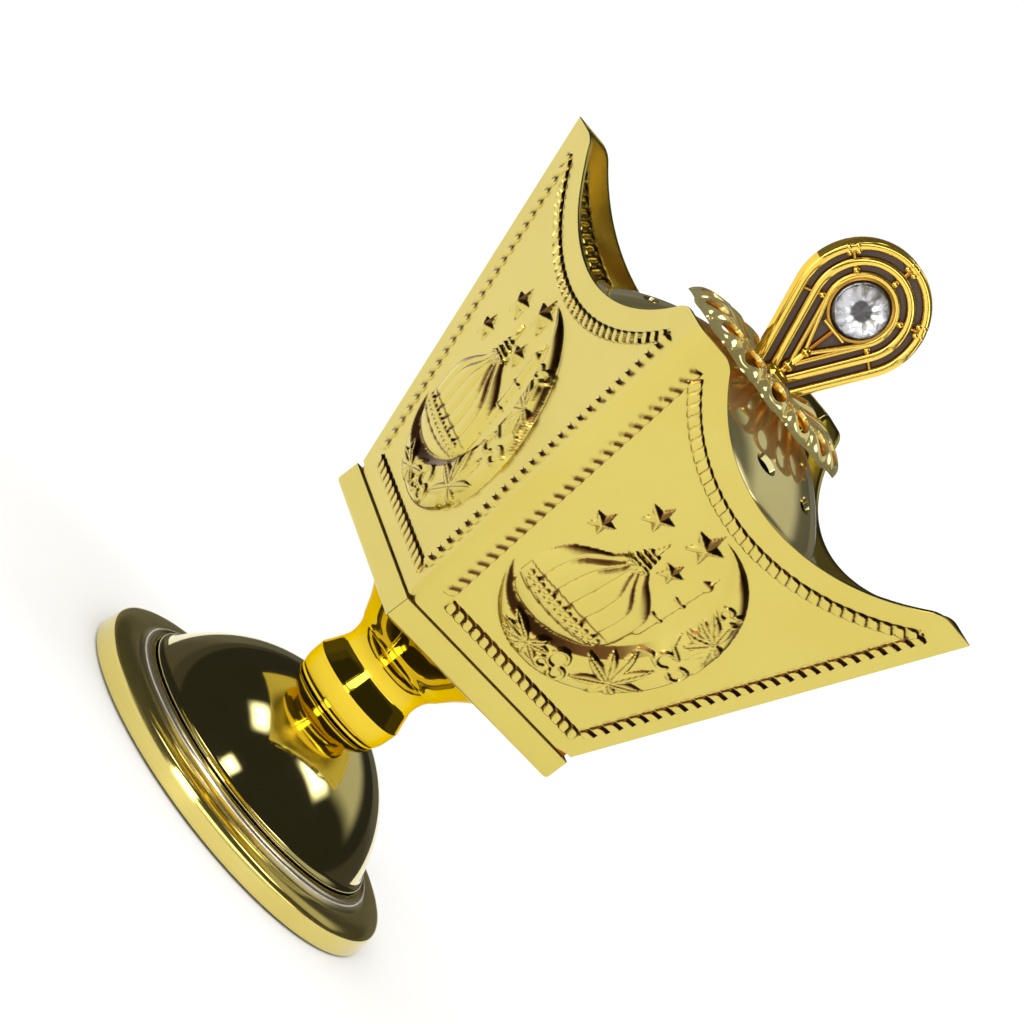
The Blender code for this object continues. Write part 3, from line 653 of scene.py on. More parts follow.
def rope_border(x, z):
    """The rope round the panel: along the foot, up the right, back under the rim and down."""
    runs = []
    for start, stop, *strand in ROPE_RUNS:
        length = math.dist(start, stop)
        ex, ez = (stop[0] - start[0]) / length, (stop[1] - start[1]) / length
        dx, dz = x - start[0], z - start[1]
        runs.append((dx * ex + dz * ez, dz * ex - dx * ez, length, *strand))
    centre_z = SCOOP_LOW_Z + SCOOP_R
    radius = SCOOP_R + 5.35
    turn = np.arctan2(x, centre_z - z)
    from_turn, to_turn = math.radians(39.2), math.radians(-38.4)
    runs.append(((from_turn - turn) * radius, np.hypot(x, centre_z - z) - radius,
                 (from_turn - to_turn) * radius, *RIM_ROPE))
    height, painted_shading = np.zeros_like(x), np.zeros_like(x)
    for s, t, length, rise, fall, high, shading_paint in runs:
        near = (np.abs(t) < ROPE_HALF) & (s > 0.0) & (s < length)
        lift, valley_shade = rope_height(s, t, length, rise, fall)
        height = np.maximum(height, near * high * lift)
        # Painted shade between the strands.
        painted_shading = np.maximum(painted_shading, near * shading_paint * valley_shade)
    return height, painted_shading


CRESCENT_OUTER = (-1.5, 82.7, 21.0)
CRESCENT_INNER = (-8.2, 86.8, 18.0)
CRESCENT_BEVEL = 2.2


def crescent(x, z):
    """Round at its outer edge and straight at its inner one, from 0 to 1."""
    cx, cz, radius = CRESCENT_OUTER
    from_outer = unit((radius - np.hypot(x - cx, z - cz)) / CRESCENT_BEVEL)
    cx, cz, radius = CRESCENT_INNER
    from_inner = unit((np.hypot(x - cx, z - cz) - radius) / CRESCENT_BEVEL)
    return np.minimum(ridge_of(1.0 - from_outer, 1.0), from_inner)


def tips_round(heart, rows):
    """Tips of petals round a heart, from rows of angle in degrees and length."""
    return [(heart[0] + length * math.cos(math.radians(degrees)),
             heart[1] + length * math.sin(math.radians(degrees))) for degrees, length in rows]


# Each flower's heart, its petals' tips and their half width.
BLOSSOMS = (
    ((15.2, 90.2), tips_round((15.2, 90.2), ((112, 5.6), (146, 6.4), (172, 6.2), (205, 5.8), (238, 5.2),
                                             (268, 5.6), (306, 5.2), (336, 3.6))), 1.15),
    ((11.6, 70.8), ((8.9, 79.0), (14.0, 78.4), (16.9, 74.3), (15.6, 68.6), (4.4, 72.0), (6.7, 75.6),
                    (6.2, 66.5), (11.4, 66.4)), 1.15),
    ((-4.6, 65.2), tips_round((-4.6, 65.2), ((20, 4.4), (50, 4.0), (158, 7.0), (178, 6.6), (200, 6.2),
                                             (228, 4.6), (262, 2.9), (300, 2.9), (338, 4.4))), 0.95),
)
# Centre, radius, and the angles in degrees where each curl starts and stops.
CURLS = ((10.4, 95.6, 1.15, 30, 300), (13.2, 95.9, 1.15, 240, 510), (13.2, 81.6, 1.7, 70, 330),
         (17.3, 81.3, 1.6, -130, 130), (2.0, 67.2, 1.9, 10, 290), (4.4, 64.9, 1.4, -160, 110),
         (0.6, 64.6, 1.1, 60, 330))
STALKS = (((10.2, 86.5), (11.4, 84.4), (14.4, 83.4)), ((19.2, 83.6), (18.6, 86.0)),
          ((8.8, 79.4), (10.6, 80.6), (12.2, 80.0)))


def blossoms(x, z):
    """Flowers, leaves and curls along the crescent."""
    found = []
    for heart, tips, half_width in BLOSSOMS:
        found.append(leaves(x, z, heart, tips, half_width))
    for cx, cz, radius, start, stop in CURLS:
        found.append(0.9 * stroke(x, z, arc(cx, cz, radius, start, stop, 10), 0.42))
    for points in STALKS:
        found.append(0.8 * stroke(x, z, points, 0.38))
    return np.maximum.reduce(found)


DOME_OUTLINE = [(-18.1, 75.0), (-18.45, 78.0), (-18.1, 81.0), (-16.9, 83.2), (-14.0, 85.5),
                (-11.2, 87.4), (-9.5, 89.4), (-4.7, 89.8), (-2.2, 88.2), (1.2, 86.4), (4.3, 83.9),
                (5.3, 80.8), (5.5, 77.5), (5.1, 75.0), (3.2, 72.4), (0.2, 70.5), (-3.8, 69.1),
                (-7.5, 68.6), (-12.0, 68.9), (-15.7, 70.1), (-17.5, 72.5)]
DOME_NECK = (-7.1, 89.6)
DOME_SWELL = 4.6


def mosque_dome(x, z):
    """A ribbed onion dome on a beaded drum, with its spire."""
    depth = inside_distance(x, z, curve_through(DOME_OUTLINE + DOME_OUTLINE[:1], 3)[:-1])
    swell = ridge_of(1.0 - unit(depth / DOME_SWELL), 1.0)
    neck_x, neck_z = DOME_NECK
    ribs = np.zeros_like(x)
    for foot in (-14.6, -10.6, -6.6, -2.5, 1.5):
        reach = foot - neck_x
        rib = curve_through([(foot, 75.6), (foot + 0.02 * reach, 79.5), (foot - 0.12 * reach, 83.2),
                             (foot - 0.55 * reach, 86.4), (neck_x + 0.16 * reach, 89.0)], 3)
        ribs = np.maximum(ribs, unit(1.0 - path_distance(x, z, rib)) ** 1.4)
    drum = smooth(75.9, 75.5, z)
    height = 1.1 * swell - 0.42 * ribs * (swell > 0.2) + 0.12 * drum * (swell > 0.05)
    for number in range(13):
        cx = -16.7 + 1.62 * number
        sag = 0.008 * (cx + 7.0) ** 2
        bead = ridge_of(np.hypot(x - cx, z - (74.1 + 0.4 * sag)), 0.66)
        dot = ridge_of(np.hypot(x - cx - 0.8, z - (72.75 + 0.6 * sag)), 0.4)
        height = height + (0.38 * bead + 0.24 * dot) * (swell > 0.3)
    belt = np.exp(-(((z - 71.75 - 0.009 * (x + 7.0) ** 2) / 0.22) ** 2))
    height = height - 0.22 * belt * (swell > 0.3)
    turns = np.radians((205, 235, 262, 290, 318, 342))
    tips = [(neck_x + 2.9 * math.cos(a), neck_z + 0.5 + 2.2 * math.sin(a)) for a in turns]
    collar = leaves(x, z, DOME_NECK, tips, 0.55)
    rings = [stroke(x, z, [(neck_x - half, ring_z), (neck_x + half, ring_z)], 0.5)
             for ring_z, half in ((90.3, 1.9), (91.5, 1.45), (92.6, 1.0))]
    spire_distance, share = line_distance(x, z, (-7.2, 93.0), (-7.2, 96.2))
    spire = ridge_of(spire_distance, 0.75 * (1.02 - share))
    return np.maximum.reduce([height, (0.62 + 0.3 * collar) * (collar > 0.02),
                              0.6 * np.maximum.reduce(rings), 0.45 * spire])


def minaret(x, z):
    distance, share = line_distance(x, z, (5.2, 81.0), (4.1, 94.6))
    found = [0.34 * ridge_of(distance, 1.2 - 0.2 * share)]
    for ring_z in (90.1, 85.2):
        ring_x = 4.1 + (94.6 - ring_z) * 0.08
        found.append(0.52 * stroke(x, z, [(ring_x - 1.1, ring_z), (ring_x + 1.1, ring_z)], 0.42))
    found.append(0.6 * ridge_of(np.hypot((x - 4.1) / 1.1, z - 95.6), 1.25))
    distance, share = line_distance(x, z, (4.1, 96.3), (4.1, 98.4))
    found.append(0.4 * ridge_of(distance, 0.45 * (1.05 - share)))
    return np.maximum.reduce(found)


STARS = ((-13.3, 97.6, 3.5), (-3.25, 100.3, 4.0), (-18.2, 89.6, 3.0), (-1.9, 92.6, 2.7))


def panel_relief(x, z):
    """The panel's relief, and the painted shade between strands of rope."""
    moon = crescent(x, z)
    flowers = 0.50 * blossoms(x, z) * smooth(0.1, 0.5, moon)
    found = [1.2 * moon + flowers, mosque_dome(x, z), minaret(x, z)]
    for cx, cz, radius in STARS:
        point = star(x, z, cx, cz, radius)
        found.append(0.3 * radius * point + 0.16 * smooth(0.0, 0.06, point))
    rope, valley_shade = rope_border(x, z)
    return np.maximum.reduce([*found, rope]), valley_shade


# ---- body sheets


def body_half(z):
    share = (z - BODY_BOTTOM_Z) / (BODY_TOP_Z - BODY_BOTTOM_Z)
    return BODY_HALF_BOTTOM + share * (BODY_HALF_TOP - BODY_HALF_BOTTOM)


def rim_z(across):
    """Height of the scooped rim: an arc that a rounded shoulder joins to the level corner."""
    centre_z = SCOOP_LOW_Z + SCOOP_R
    shoulder_z = BODY_TOP_Z - SHOULDER_R
    reach = SCOOP_R + SHOULDER_R
    shoulder_x = math.sqrt(reach**2 - (centre_z - shoulder_z) ** 2)
    across = np.abs(across)
    scoop = centre_z - np.sqrt(np.maximum(SCOOP_R**2 - across**2, 0.0))
    shoulder = shoulder_z + np.sqrt(np.maximum(SHOULDER_R**2 - (shoulder_x - across) ** 2, 0.0))
    found = np.where(across < shoulder_x * SCOOP_R / reach, scoop, shoulder)
    return np.where(across < shoulder_x, found, BODY_TOP_Z)


def spread(stops):
    """Shares from (value, count) stops: count even steps up to each value from the one before."""
    found = [0.0]
    for value, count in stops:
        found += list(np.linspace(found[-1], value, count + 1)[1:])
    return np.array(found)


# The side ropes lie between these shares of the face's half width, and take every row. The rest
# of the face takes every other row between the foot rope and the rim rope.
SIDE_ROPE = (0.77, 0.915)
PANEL_HALF_COLUMNS = ((SIDE_ROPE[0], 100), (SIDE_ROPE[1], 40), (1.0, 5))
OUTER_ROWS = ((0.035, 3), (0.12, 40), (0.84, 340), (0.95, 40), (0.985, 4), (1.0, 2))
FIRST_FINE_ROW, LAST_FINE_ROW = 43, 383
INNER_ROWS = ((0.4, 1), (0.82, 5), (0.95, 24), (0.985, 3), (1.0, 2))


def panel_points(columns, bend_side, inset, rows):
    """Points of a panel's face as (row, column, xyz), with x to the right, y outwards and z up.
    Columns run from -1 to 1 over the flat, and those beyond -1 go round the bend."""
    flat = np.clip(columns, -1.0, 1.0)
    around = unit(-1.0 - columns) * math.pi / 2.0
    bend = BODY_BEND_R - inset
    top = np.full(len(columns), BODY_TOP_Z)
    short = np.where(columns * bend_side > 0.0, BODY_BEND_R, 0.5 * GAP)

    def plan(z):
        half = body_half(z)
        x = flat * (half - short) - bend * np.sin(around)
        return x, half - inset - bend * (1.0 - np.cos(around))

    for _ in range(30):
        x = np.where(columns < -1.0, BODY_TOP_Z, plan(top)[0])
        top = rim_z(x)
    foot_x = plan(BODY_BOTTOM_Z)[0]
    seam = smooth(0.8, 0.98, np.abs(foot_x) / BODY_HALF_BOTTOM)
    if bend_side:
        seam = np.where(columns * bend_side > 0.0, 0.0, seam)
    foot = BODY_BOTTOM_Z + SEAM_RAISE * seam
    z = foot + rows[:, None] * (top - foot)
    return np.stack([*plan(z), z], axis=-1)


def emboss(points, share):
    """The points moved out along the panel's normal by its relief, and their painted shade: dark
    between strands of rope, and on steep slopes that face up."""
    x, z = points[..., 0], points[..., 2]
    lift, valley_shade = panel_relief(x, z)
    step = 0.08
    fall = panel_relief(x, z - step)[0] - panel_relief(x, z + step)[0]
    up_slope_shade = smooth(0.10, 0.34, fall / (2.0 * step))
    out = np.array([0.0, math.cos(BODY_SLOPE), -math.sin(BODY_SLOPE)])
    # Painted shade between strands and on steep slopes that face up.
    painted_shading = unit(valley_shade + 0.95 * up_slope_shade) * share
    return points + (lift * share)[..., None] * out, painted_shading


def stitched_faces(index, kept, fine):
    """Faces of a grid whose fine columns use every row, and whose other columns use the kept
    rows, with the extra points of a fine neighbour let into their sides."""
    faces = []
    beside = [False, *fine, False]
    for j, every in enumerate(fine):
        used = np.arange(len(index)) if every else np.flatnonzero(kept)
        for low, high in zip(used, used[1:]):
            right = index[low + 1:high, j + 1] if beside[j + 2] else []
            left = index[low + 1:high, j][::-1] if beside[j] else []
            face = [index[low, j], index[low, j + 1], *right, index[high, j + 1], index[high, j], *left]
            faces.append([int(i) for i in face])
    return faces


def make_panel(name, quarter, bend_side, replaced):
    """One face of the body. The piece with bend_side -1 holds the bend at its left."""
    half = spread(PANEL_HALF_COLUMNS)
    columns = np.concatenate([-half[:0:-1], half])
    if bend_side < 0:
        columns = np.concatenate([-1.0 - np.linspace(1.0, 0.0, 9)[:-1], columns])
    middles = np.abs(columns[1:] + columns[:-1]) / 2.0
    fine = (middles > SIDE_ROPE[0]) & (middles < SIDE_ROPE[1])
    outer_rows, inner_rows = spread(OUTER_ROWS), spread(INNER_ROWS)
    outer, outer_painted_shading = emboss(panel_points(columns, bend_side, 0.0, outer_rows), 1.0)
    inner = panel_points(columns, bend_side, BODY_WALL, inner_rows)
    inner, inner_painted_shading = emboss(inner, smooth(103.5, 106.0, inner[..., 2]))
    edge = []
    for share in (0.12, 0.3, 0.5, 0.7, 0.88):
        row = outer[-1] * (1.0 - share) + inner[-1] * share
        row[:, 2] += 0.16 * math.sin(math.pi * share) ** 0.5
        edge.append(row)
    rows = np.arange(len(outer_rows))
    kept = (rows <= FIRST_FINE_ROW) | (rows >= LAST_FINE_ROW) | ((rows - FIRST_FINE_ROW) % 2 == 0)
    exists = kept[:, None] | np.append(False, fine) | np.append(fine, False)
    index = np.where(exists, np.cumsum(exists).reshape(exists.shape) - 1, -1)
    rest = np.concatenate([edge, inner[::-1]])
    rest_index = exists.sum() + np.arange(rest[..., 0].size).reshape(rest.shape[:2])
    loop = np.concatenate([index[-1:], rest_index, index[:1]])
    around = [loop[:-1, :-1], loop[:-1, 1:], loop[1:, 1:], loop[1:, :-1]]
    faces = stitched_faces(index, kept, fine) + np.stack(around, axis=-1).reshape(-1, 4).tolist()
    for column in (0, -1):
        faces.append(index[kept, column].tolist() + rest_index[:, column].tolist())
    points = np.concatenate([outer[exists], rest.reshape(-1, 3)]) @ quarter_axes(quarter)
    obj = piece(name, points, faces, SATIN, "root", "satin_gold", (replaced,), 50.0)
    # Painted shade on the face and in the inner relief, and none on the rim edge.
    edge_painted_shading = np.zeros(len(edge) * len(columns))
    set_painted_shading(obj, np.concatenate([outer_painted_shading[exists], edge_painted_shading, inner_painted_shading[::-1].ravel()]))


LINER_HALF = 22.6
LINER_T = 0.7
TAB_X = (1.4, 3.6)


def make_tabs():
    """Below each face: a tab inside the tray's wall, and the liner that closes the raised seam."""
    low = BODY_BOTTOM_Z - 3.0
    liner_x = np.linspace(-LINER_HALF, LINER_HALF, 60)
    rise = SEAM_RAISE * smooth(0.8, 0.98, liner_x / BODY_HALF_BOTTOM)
    parts = []
    for quarter in range(4):
        liner_top = BODY_BOTTOM_Z + 0.25 + rise[::-1 if quarter % 2 else 1]
        bars = ((TAB_X, TRAY_HALF - SHEET_T - GAP, np.full(2, BODY_BOTTOM_Z + 0.5)),
                (liner_x, BODY_HALF_BOTTOM - 0.2, liner_top))
        for along, front, tops in bars:
            back = front - LINER_T
            rows = [[(x, front, low), (x, front, top), (x, back, top), (x, back, low)]
                    for x, top in zip(along, tops)]
            parts.append(bar(rows @ quarter_axes(quarter)))
    tabs = piece("body_tabs", *joined(parts), CAST, "root", "satin_gold")
    # Painted shade: the tabs and liner take the dark mark colour all over, as the dark seen through the
    # seam.
    set_painted_shading(tabs, np.ones(len(tabs.data.vertices)))


def make_body():
    for quarter, (name, bend_side) in enumerate((("front_right", -1), ("front_left", 1),
                                                 ("back_left", -1), ("back_right", 1))):
        replaced = "body_sheet_front" if quarter < 2 else "body_sheet_back"
        make_panel(f"embossed_panel_{name}", quarter, bend_side, replaced)
    make_tabs()


# ---- bowl and lid


def make_bowl():
    flange_z = DECK_TOP_Z + GAP
    wall, corner = 0.8, 5.0
    floor_r, floor_z, bowl_r, flange_r = 17.0, 87.0, 28.8, 31.6
    profile = [(0.0, floor_z)] + arc(floor_r, floor_z + corner, corner, -90, -20, 12)
    profile += [(bowl_r, flange_z - 2.0), (bowl_r, flange_z), (flange_r - 0.2, flange_z)]
    profile += arc(flange_r - 0.25, flange_z + 0.4, 0.25, -60, 60, 4)
    profile += [(flange_r - 0.4, flange_z + wall)]
    profile += arc(bowl_r + 0.2, flange_z + wall - 0.5, 0.5, 90, 170, 4)
    profile += [(bowl_r - wall, flange_z - 2.0)]
    profile += arc(floor_r, floor_z + corner, corner - wall, -20, -90, 12)
    profile += [(0.0, floor_z + wall)]
    turned("turned_bowl", profile, STEEL, "bowl", "zinc_steel", ("charcoal_bowl",), sharp=50.0)


def make_lid():
    """The domed lid: a flat lip on the bowl, a skirt that centres it, and smoke holes."""
    lip_z = DECK_TOP_Z + 2.0 * GAP + 0.8
    wall, skirt_r, top_r = 0.9, 27.3, 2.2
    skirt_z = lip_z - 2.6
    profile = [(skirt_r, skirt_z), (skirt_r, lip_z), (LID_LIP_R - 0.2, lip_z)]
    profile += arc(LID_LIP_R - 0.3, lip_z + 0.45, 0.3, -50, 60, 5)
    profile += [(LID_LIP_R - 0.5, lip_z + 0.82), (LID_EDGE_R + 0.9, lip_z + 0.95)]
    profile += [(LID_EDGE_R + 0.3, lip_z + 1.05)]
    profile += sphere_points(LID_CENTRE_Z, LID_R, LID_EDGE_R, top_r, 60)
    profile += sphere_points(LID_CENTRE_Z, LID_R - wall, top_r, skirt_r - wall, 24)
    profile += [(skirt_r - wall, skirt_z)]
    lid = turned("pierced_lid", profile, LID, "lid", "pale_mirror_gold", ("lid_dome",),
                 even_angles(200), 40.0)
    parts = []
    for i in range(SMOKE_HOLES):
        turn = SMOKE_HOLE_TURN + TURN * i / SMOKE_HOLES
        x, y = SMOKE_HOLE_RING_R * math.cos(turn), SMOKE_HOLE_RING_R * math.sin(turn)
        outline = oval(x, y, *SMOKE_HOLE_HALVES, turn + math.pi / 2.0, 40)
        parts.append(prism_mesh(outline, lip_z + 1.0, BODY_TOP_Z))
    cut(lid, *joined(parts), 40.0)
    # Painted reflection: the middle of the lid, under the flower, is tinted orange.
    set_painted_shading(lid, 0.6 * smooth(21.0, 12.0, np.hypot(*points_of(lid)[:, :2].T)))


# ---- flower cap
# Radius of each ring of openings, and an opening's half sizes out from the axis and across.
OUTER_OPENINGS = (18.0, 2.3, 1.9)
INNER_OPENINGS = (11.6, 2.9, 1.1)
FLOWER_T = 0.8


def petal_share(angle):
    """Place across a petal, from -0.5 to 0.5."""
    return (angle * PETALS / TURN + 0.5) % 1.0 - 0.5


def flower_top(r, angle):
    """Height of the cap: a level middle, then arched petals, each round its opening."""
    share = unit((r - FLOWER_LEVEL_R) / (FLOWER_R - FLOWER_LEVEL_R))
    z = FLOWER_CENTRE_Z + FLOWER_T + 7.6 * share**2 - 9.4 * share**4
    petal = petal_share(angle)
    across = petal * TURN / PETALS * r
    z = z - 1.5 * (2.0 * np.abs(petal)) ** 3 * smooth(0.0, 0.5, share)
    ring_r, half_long, half_short = OUTER_OPENINGS
    ring = np.hypot((r - ring_r) / half_long, across / half_short)
    return z - 0.22 * smooth(1.4, 0.98, ring)


def make_flower():
    steps = PETALS * 40
    angles = (np.arange(steps) + 0.5) * TURN / steps
    edge = FLOWER_R - 1.9 * (1.0 - np.sqrt(1.0 - 3.9 * petal_share(angles) ** 2))
    shares = np.linspace(0.0, 1.0, 72)[:, None]
    r = 2.0 + shares * (edge - 2.0)
    z = flower_top(r, angles)
    fall = 0.4 * (1.0 - ridge_of(unit((shares - 0.97) / 0.03), 1.0))
    x, y = r * np.cos(angles), r * np.sin(angles)
    top = np.stack([x, y, z - fall], axis=-1)
    bottom = np.stack([x, y, z - FLOWER_T + fall], axis=-1)
    loop = np.concatenate([top, bottom[::-1]])
    faces = grid_faces(len(loop), steps, True, True)
    obj = piece("pierced_flower", loop.reshape(-1, 3), faces, PETAL, "lid", "pale_mirror_gold",
                ("flower_cap",), 45.0)
    parts = []
    for turn in even_angles(PETALS):
        for ring_r, *halves in (OUTER_OPENINGS, INNER_OPENINGS):
            outline = oval(ring_r * math.cos(turn), ring_r * math.sin(turn), *halves, turn, 28)
            parts.append(prism_mesh(outline, FLOWER_CENTRE_Z - 6.0, FLOWER_CENTRE_Z + 8.0))
    cut(obj, *joined(parts), 45.0)
    x, y, z = points_of(obj).T
    # Painted light: the underside of the cap is tinted warm orange-gold.
    under = flower_top(np.hypot(x, y), np.arctan2(y, x)) - 0.5 - z
    set_painted_shading(obj, smooth(-0.1, 0.1, under))


# ---- finial
# The finial is built in its own plane: x across, y towards its front, z up.


def teardrop(radius, foot_z, taper=FINIAL_TAPER):
    """Round head about the stone, with straight sides that draw together at the foot."""
    start = -math.degrees(taper)
    head = arc(0.0, CRYSTAL_Z, radius, start, 180.0 - start, 48)
    apex_z = CRYSTAL_Z - radius / math.sin(taper)
    foot_z = max(foot_z, apex_z + 0.3 / math.tan(taper))
    half = (foot_z - apex_z) * math.tan(taper)
    right = [(half + (head[0][0] - half) * share, foot_z + (head[0][1] - foot_z) * share)
             for share in np.linspace(0.0, 1.0, 10)[:-1]]
    return right + head + [(-x, z) for x, z in right[::-1]]


def wire(path, half_width, half_depth, corner=0.32):
    """A band of rounded-rectangle section along a path of (x, z) points."""
    p = np.array(path, float)
    along = np.concatenate([p[1:], p[-1:]]) - np.concatenate([p[:1], p[:-1]])
    along = along / np.linalg.norm(along, axis=1)[:, None]
    section = []
    for quarter, (side, face) in enumerate(((1, 1), (-1, 1), (-1, -1), (1, -1))):
        section += arc(side * (half_width - corner), face * (half_depth - corner), corner,
                       90 * quarter, 90 * quarter + 90, 4)
    return bar([[(x + dz * out, depth, z - dx * out) for out, depth in section]
                for (x, z), (dx, dz) in zip(p, along)])


def ray(degrees, distance):
    a = math.radians(degrees)
    return distance * math.cos(a), CRYSTAL_Z + distance * math.sin(a)


def ball(x, z, y, radius):
    """A small rounded knob."""
    rows = []
    for b in np.radians(np.linspace(-80, 80, 9)):
        ring_r = radius * math.cos(b)
        rows.append([(x + ring_r * math.cos(a), y + radius * math.sin(b), z + ring_r * math.sin(a))
                     for a in even_angles(16)])
    return bar(rows)


# Radius of each band, its foot's height over the finial's, and its section.
FINIAL_BANDS = ((11.95, 0.3, (0.85, 1.8, 0.5)), (9.05, 0.5, (0.84, 1.6, 0.45)),
                (6.66, 1.0, (0.50, 1.5, 0.28)))
INNER_LOOP_TAPER = math.radians(31.0)
FINIAL_BAR_ANGLES = (90, 30, 150, -28, 208)


def channel_wall_shade(points):
    """Painted shade: nearly one on the walls that face the finial's channels, and none on its faces and
    edge.
    """
    x, y, z = points.T
    rise = z - CRYSTAL_Z
    side = np.abs(x) * math.cos(FINIAL_TAPER) - rise * math.sin(FINIAL_TAPER)
    in_head = np.arctan2(rise, np.abs(x)) > -FINIAL_TAPER
    from_middle = np.where(in_head, np.hypot(x, rise), side)
    return 0.95 * smooth(1.56, 1.36, np.abs(y)) * smooth(12.6, 12.3, from_middle)


def make_finial():
    """Three nested bands, crossed by five bars with clusters of knobs, round the stone's cup."""
    foot = FINIAL_FOOT_Z
    parts = [wire(teardrop(radius, foot + lift), *section) for radius, lift, section in FINIAL_BANDS]
    cup = [(CRYSTAL_R + 1.05, 1.4), (CRYSTAL_R + 0.55, 1.45), (CRYSTAL_R + 0.12, 0.95),
           (CRYSTAL_R + 0.12, 0.3), (CRYSTAL_R + 1.05, 0.3)]
    parts.append(wire(teardrop(6.5, foot, INNER_LOOP_TAPER), 0.48, 1.55, 0.3))
    for side in (1.0, -1.0):
        ring, ring_faces = turned_mesh(cup, even_angles(64))
        placed = np.stack([ring[:, 0], side * ring[:, 2], ring[:, 1] + CRYSTAL_Z], axis=1)
        parts.append((placed, ring_faces))
    for degrees in FINIAL_BAR_ANGLES:
        parts.append(wire([ray(degrees, d) for d in (6.3, 8.0, 10.0, 12.3)], 0.42, 1.45))
        for side in (-1.0, 1.0):
            parts.append(ball(*ray(degrees, 7.6), side * 1.2, 0.72))
            for distance in (11.05, 12.15) if 0 < degrees < 180 else ():
                for lean in (-0.85, 0.85):
                    turn = degrees + math.degrees(lean / distance)
                    parts.append(ball(*ray(turn, distance), side * 1.35, 0.66))
    parts += [wire([(0.0, CRYSTAL_Z - 5.9), (0.0, CRYSTAL_Z - 12.2)], 0.42, 1.4),
              wire([(-2.75, CRYSTAL_Z - 5.95), (2.75, CRYSTAL_Z - 5.95)], 0.42, 1.55),
              wire([(0.0, CRYSTAL_Z - 12.0), (0.0, foot + 0.6)], 0.62, 1.7, 0.55)]
    for side in (-1.0, 1.0):
        parts += [ball(0.0, CRYSTAL_Z - 12.2, side * 1.05, 1.05), ball(0.0, foot + 3.2, side * 0.9, 1.3)]
    boss = [(0.0, foot), (3.0, foot), (3.1, foot + 0.3), (2.9, foot + 1.2), (2.2, foot + 1.7),
            (0.0, foot + 1.9)]
    parts.append(turned_mesh(boss, even_angles(48)))
    obj = piece("wirework_finial", *joined(parts), CAST, "lid", "mirror_gold", ("finial",), 50.0)
    set_painted_shading(obj, channel_wall_shade(points_of(obj)))
    turn_piece(obj)


def make_channels():
    """The enamelled plate that fills the finial's channels."""
    plate, faces = prism_mesh(teardrop(11.9, FINIAL_FOOT_Z + 0.5), -0.6, 0.6)
    turn_piece(piece("finial_channels", plate[:, [0, 2, 1]], faces, ENAMEL, "lid", None, (), 30.0))


def turn_piece(obj):
    obj.data.transform(Matrix.Rotation(FINIAL_TURN, 4, "Z"))


STONE_TABLE_R = 2.2
STONE_WAIST_R = 3.8
STONE_SEAT = 1.0 + GAP


def ring_of(radius, heights, count, shift=0.0):
    """Points round the stone's axis, with the heights taken in turn."""
    turns = (np.arange(count) + shift) * TURN / count
    return [(radius * math.cos(a), radius * math.sin(a), heights[i % len(heights)])
            for i, a in enumerate(turns)]


def lay_stone(obj, side):
    """Lays a stone modelled about Z against the finial's front (side 1) or back (side -1)."""
    lay = Matrix.Rotation(math.radians(90.0 * side), 4, "X")
    place = Matrix.Translation((0.0, 0.0, CRYSTAL_Z * MM))
    obj.data.transform(Matrix.Rotation(FINIAL_TURN, 4, "Z") @ place @ lay)
    obj.data.shade_flat()


def make_stone(name, side, replaced):
    """A brilliant-cut stone: table, star, kite and girdle facets."""
    seat = STONE_SEAT
    waist, girdle, under = 8, 16, 32
    points = ring_of(STONE_TABLE_R, (seat + 2.1,), 8, 0.5) + ring_of(STONE_WAIST_R, (seat + 1.62,), 8)
    points += ring_of(CRYSTAL_R, (seat + 0.95,), 16) + ring_of(CRYSTAL_R, (seat + 0.03,), 16)
    faces = [list(range(8)), list(range(under, under + 16))]
    for i in range(8):
        here, there = waist + i, waist + (i + 1) % 8
        before, middle, after = [girdle + k % 16 for k in (2 * i - 1, 2 * i, 2 * i + 1)]
        faces += [[(i - 1) % 8, i, here], [i, here, after, there], [here, before, middle],
                  [here, middle, after]]
    faces += grid_faces(2, 16, True, first=girdle)
    stone = piece(name, points, faces, CRYSTAL, "lid", "crystal", (replaced,), 1.0)
    lay_stone(stone, side)


def make_foil(name, side):
    """The pleated foil behind a stone."""
    seat, pleats = STONE_SEAT, 20
    points = [(0.0, 0.0, seat + 0.3)] + ring_of(1.7, (seat + 0.2, seat + 0.4), pleats)
    points += ring_of(2.2, (seat + 0.2, seat + 0.45), pleats)
    points += ring_of(CRYSTAL_R - 0.3, (seat + 0.3, seat + 0.85), pleats)
    points += ring_of(CRYSTAL_R - 0.3, (seat + 0.06,), pleats)
    faces = [[0, 1 + i, 1 + (i + 1) % pleats] for i in range(pleats)]
    faces += grid_faces(4, pleats, True, first=1)
    faces.append([1 + 3 * pleats + i for i in range(pleats)])
    foil = piece(name, points, faces, FOIL, "lid", None, (), 1.0)
    # Painted shade: the foil's middle is dark grey, so the stone's table looks dark.
    set_painted_shading(foil, [1.0] * (1 + pleats) + [0.0] * (3 * pleats))
    lay_stone(foil, side)


# ---- carried-over pieces


def finish_kept_nodes():
    """Materials for the CAD pieces that are shown as they are."""
    steel = ("base_washer", "base_nut", "tie_rod", "tray_washer", "tray_nut", "lid_washer", "lid_screw")
    for kept in (*steel, "deck_plate"):
        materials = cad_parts[kept].data.materials
        materials.clear()
        materials.append(STEEL if kept in steel else SATIN)


# ---- stage, light and camera


def stage_floor():
    """A wide pale table, on which the piece stands."""
    half = 4.0
    mesh = bpy.data.meshes.new("table_top")
    corners = [(-half, -half, 0.0), (half, -half, 0.0), (half, half, 0.0), (-half, half, 0.0)]
    mesh.from_pydata(corners, [], [(0, 1, 2, 3)])
    mesh.materials.append(material("pale_table", pale_table))
    floor = new_object("table_top", mesh)


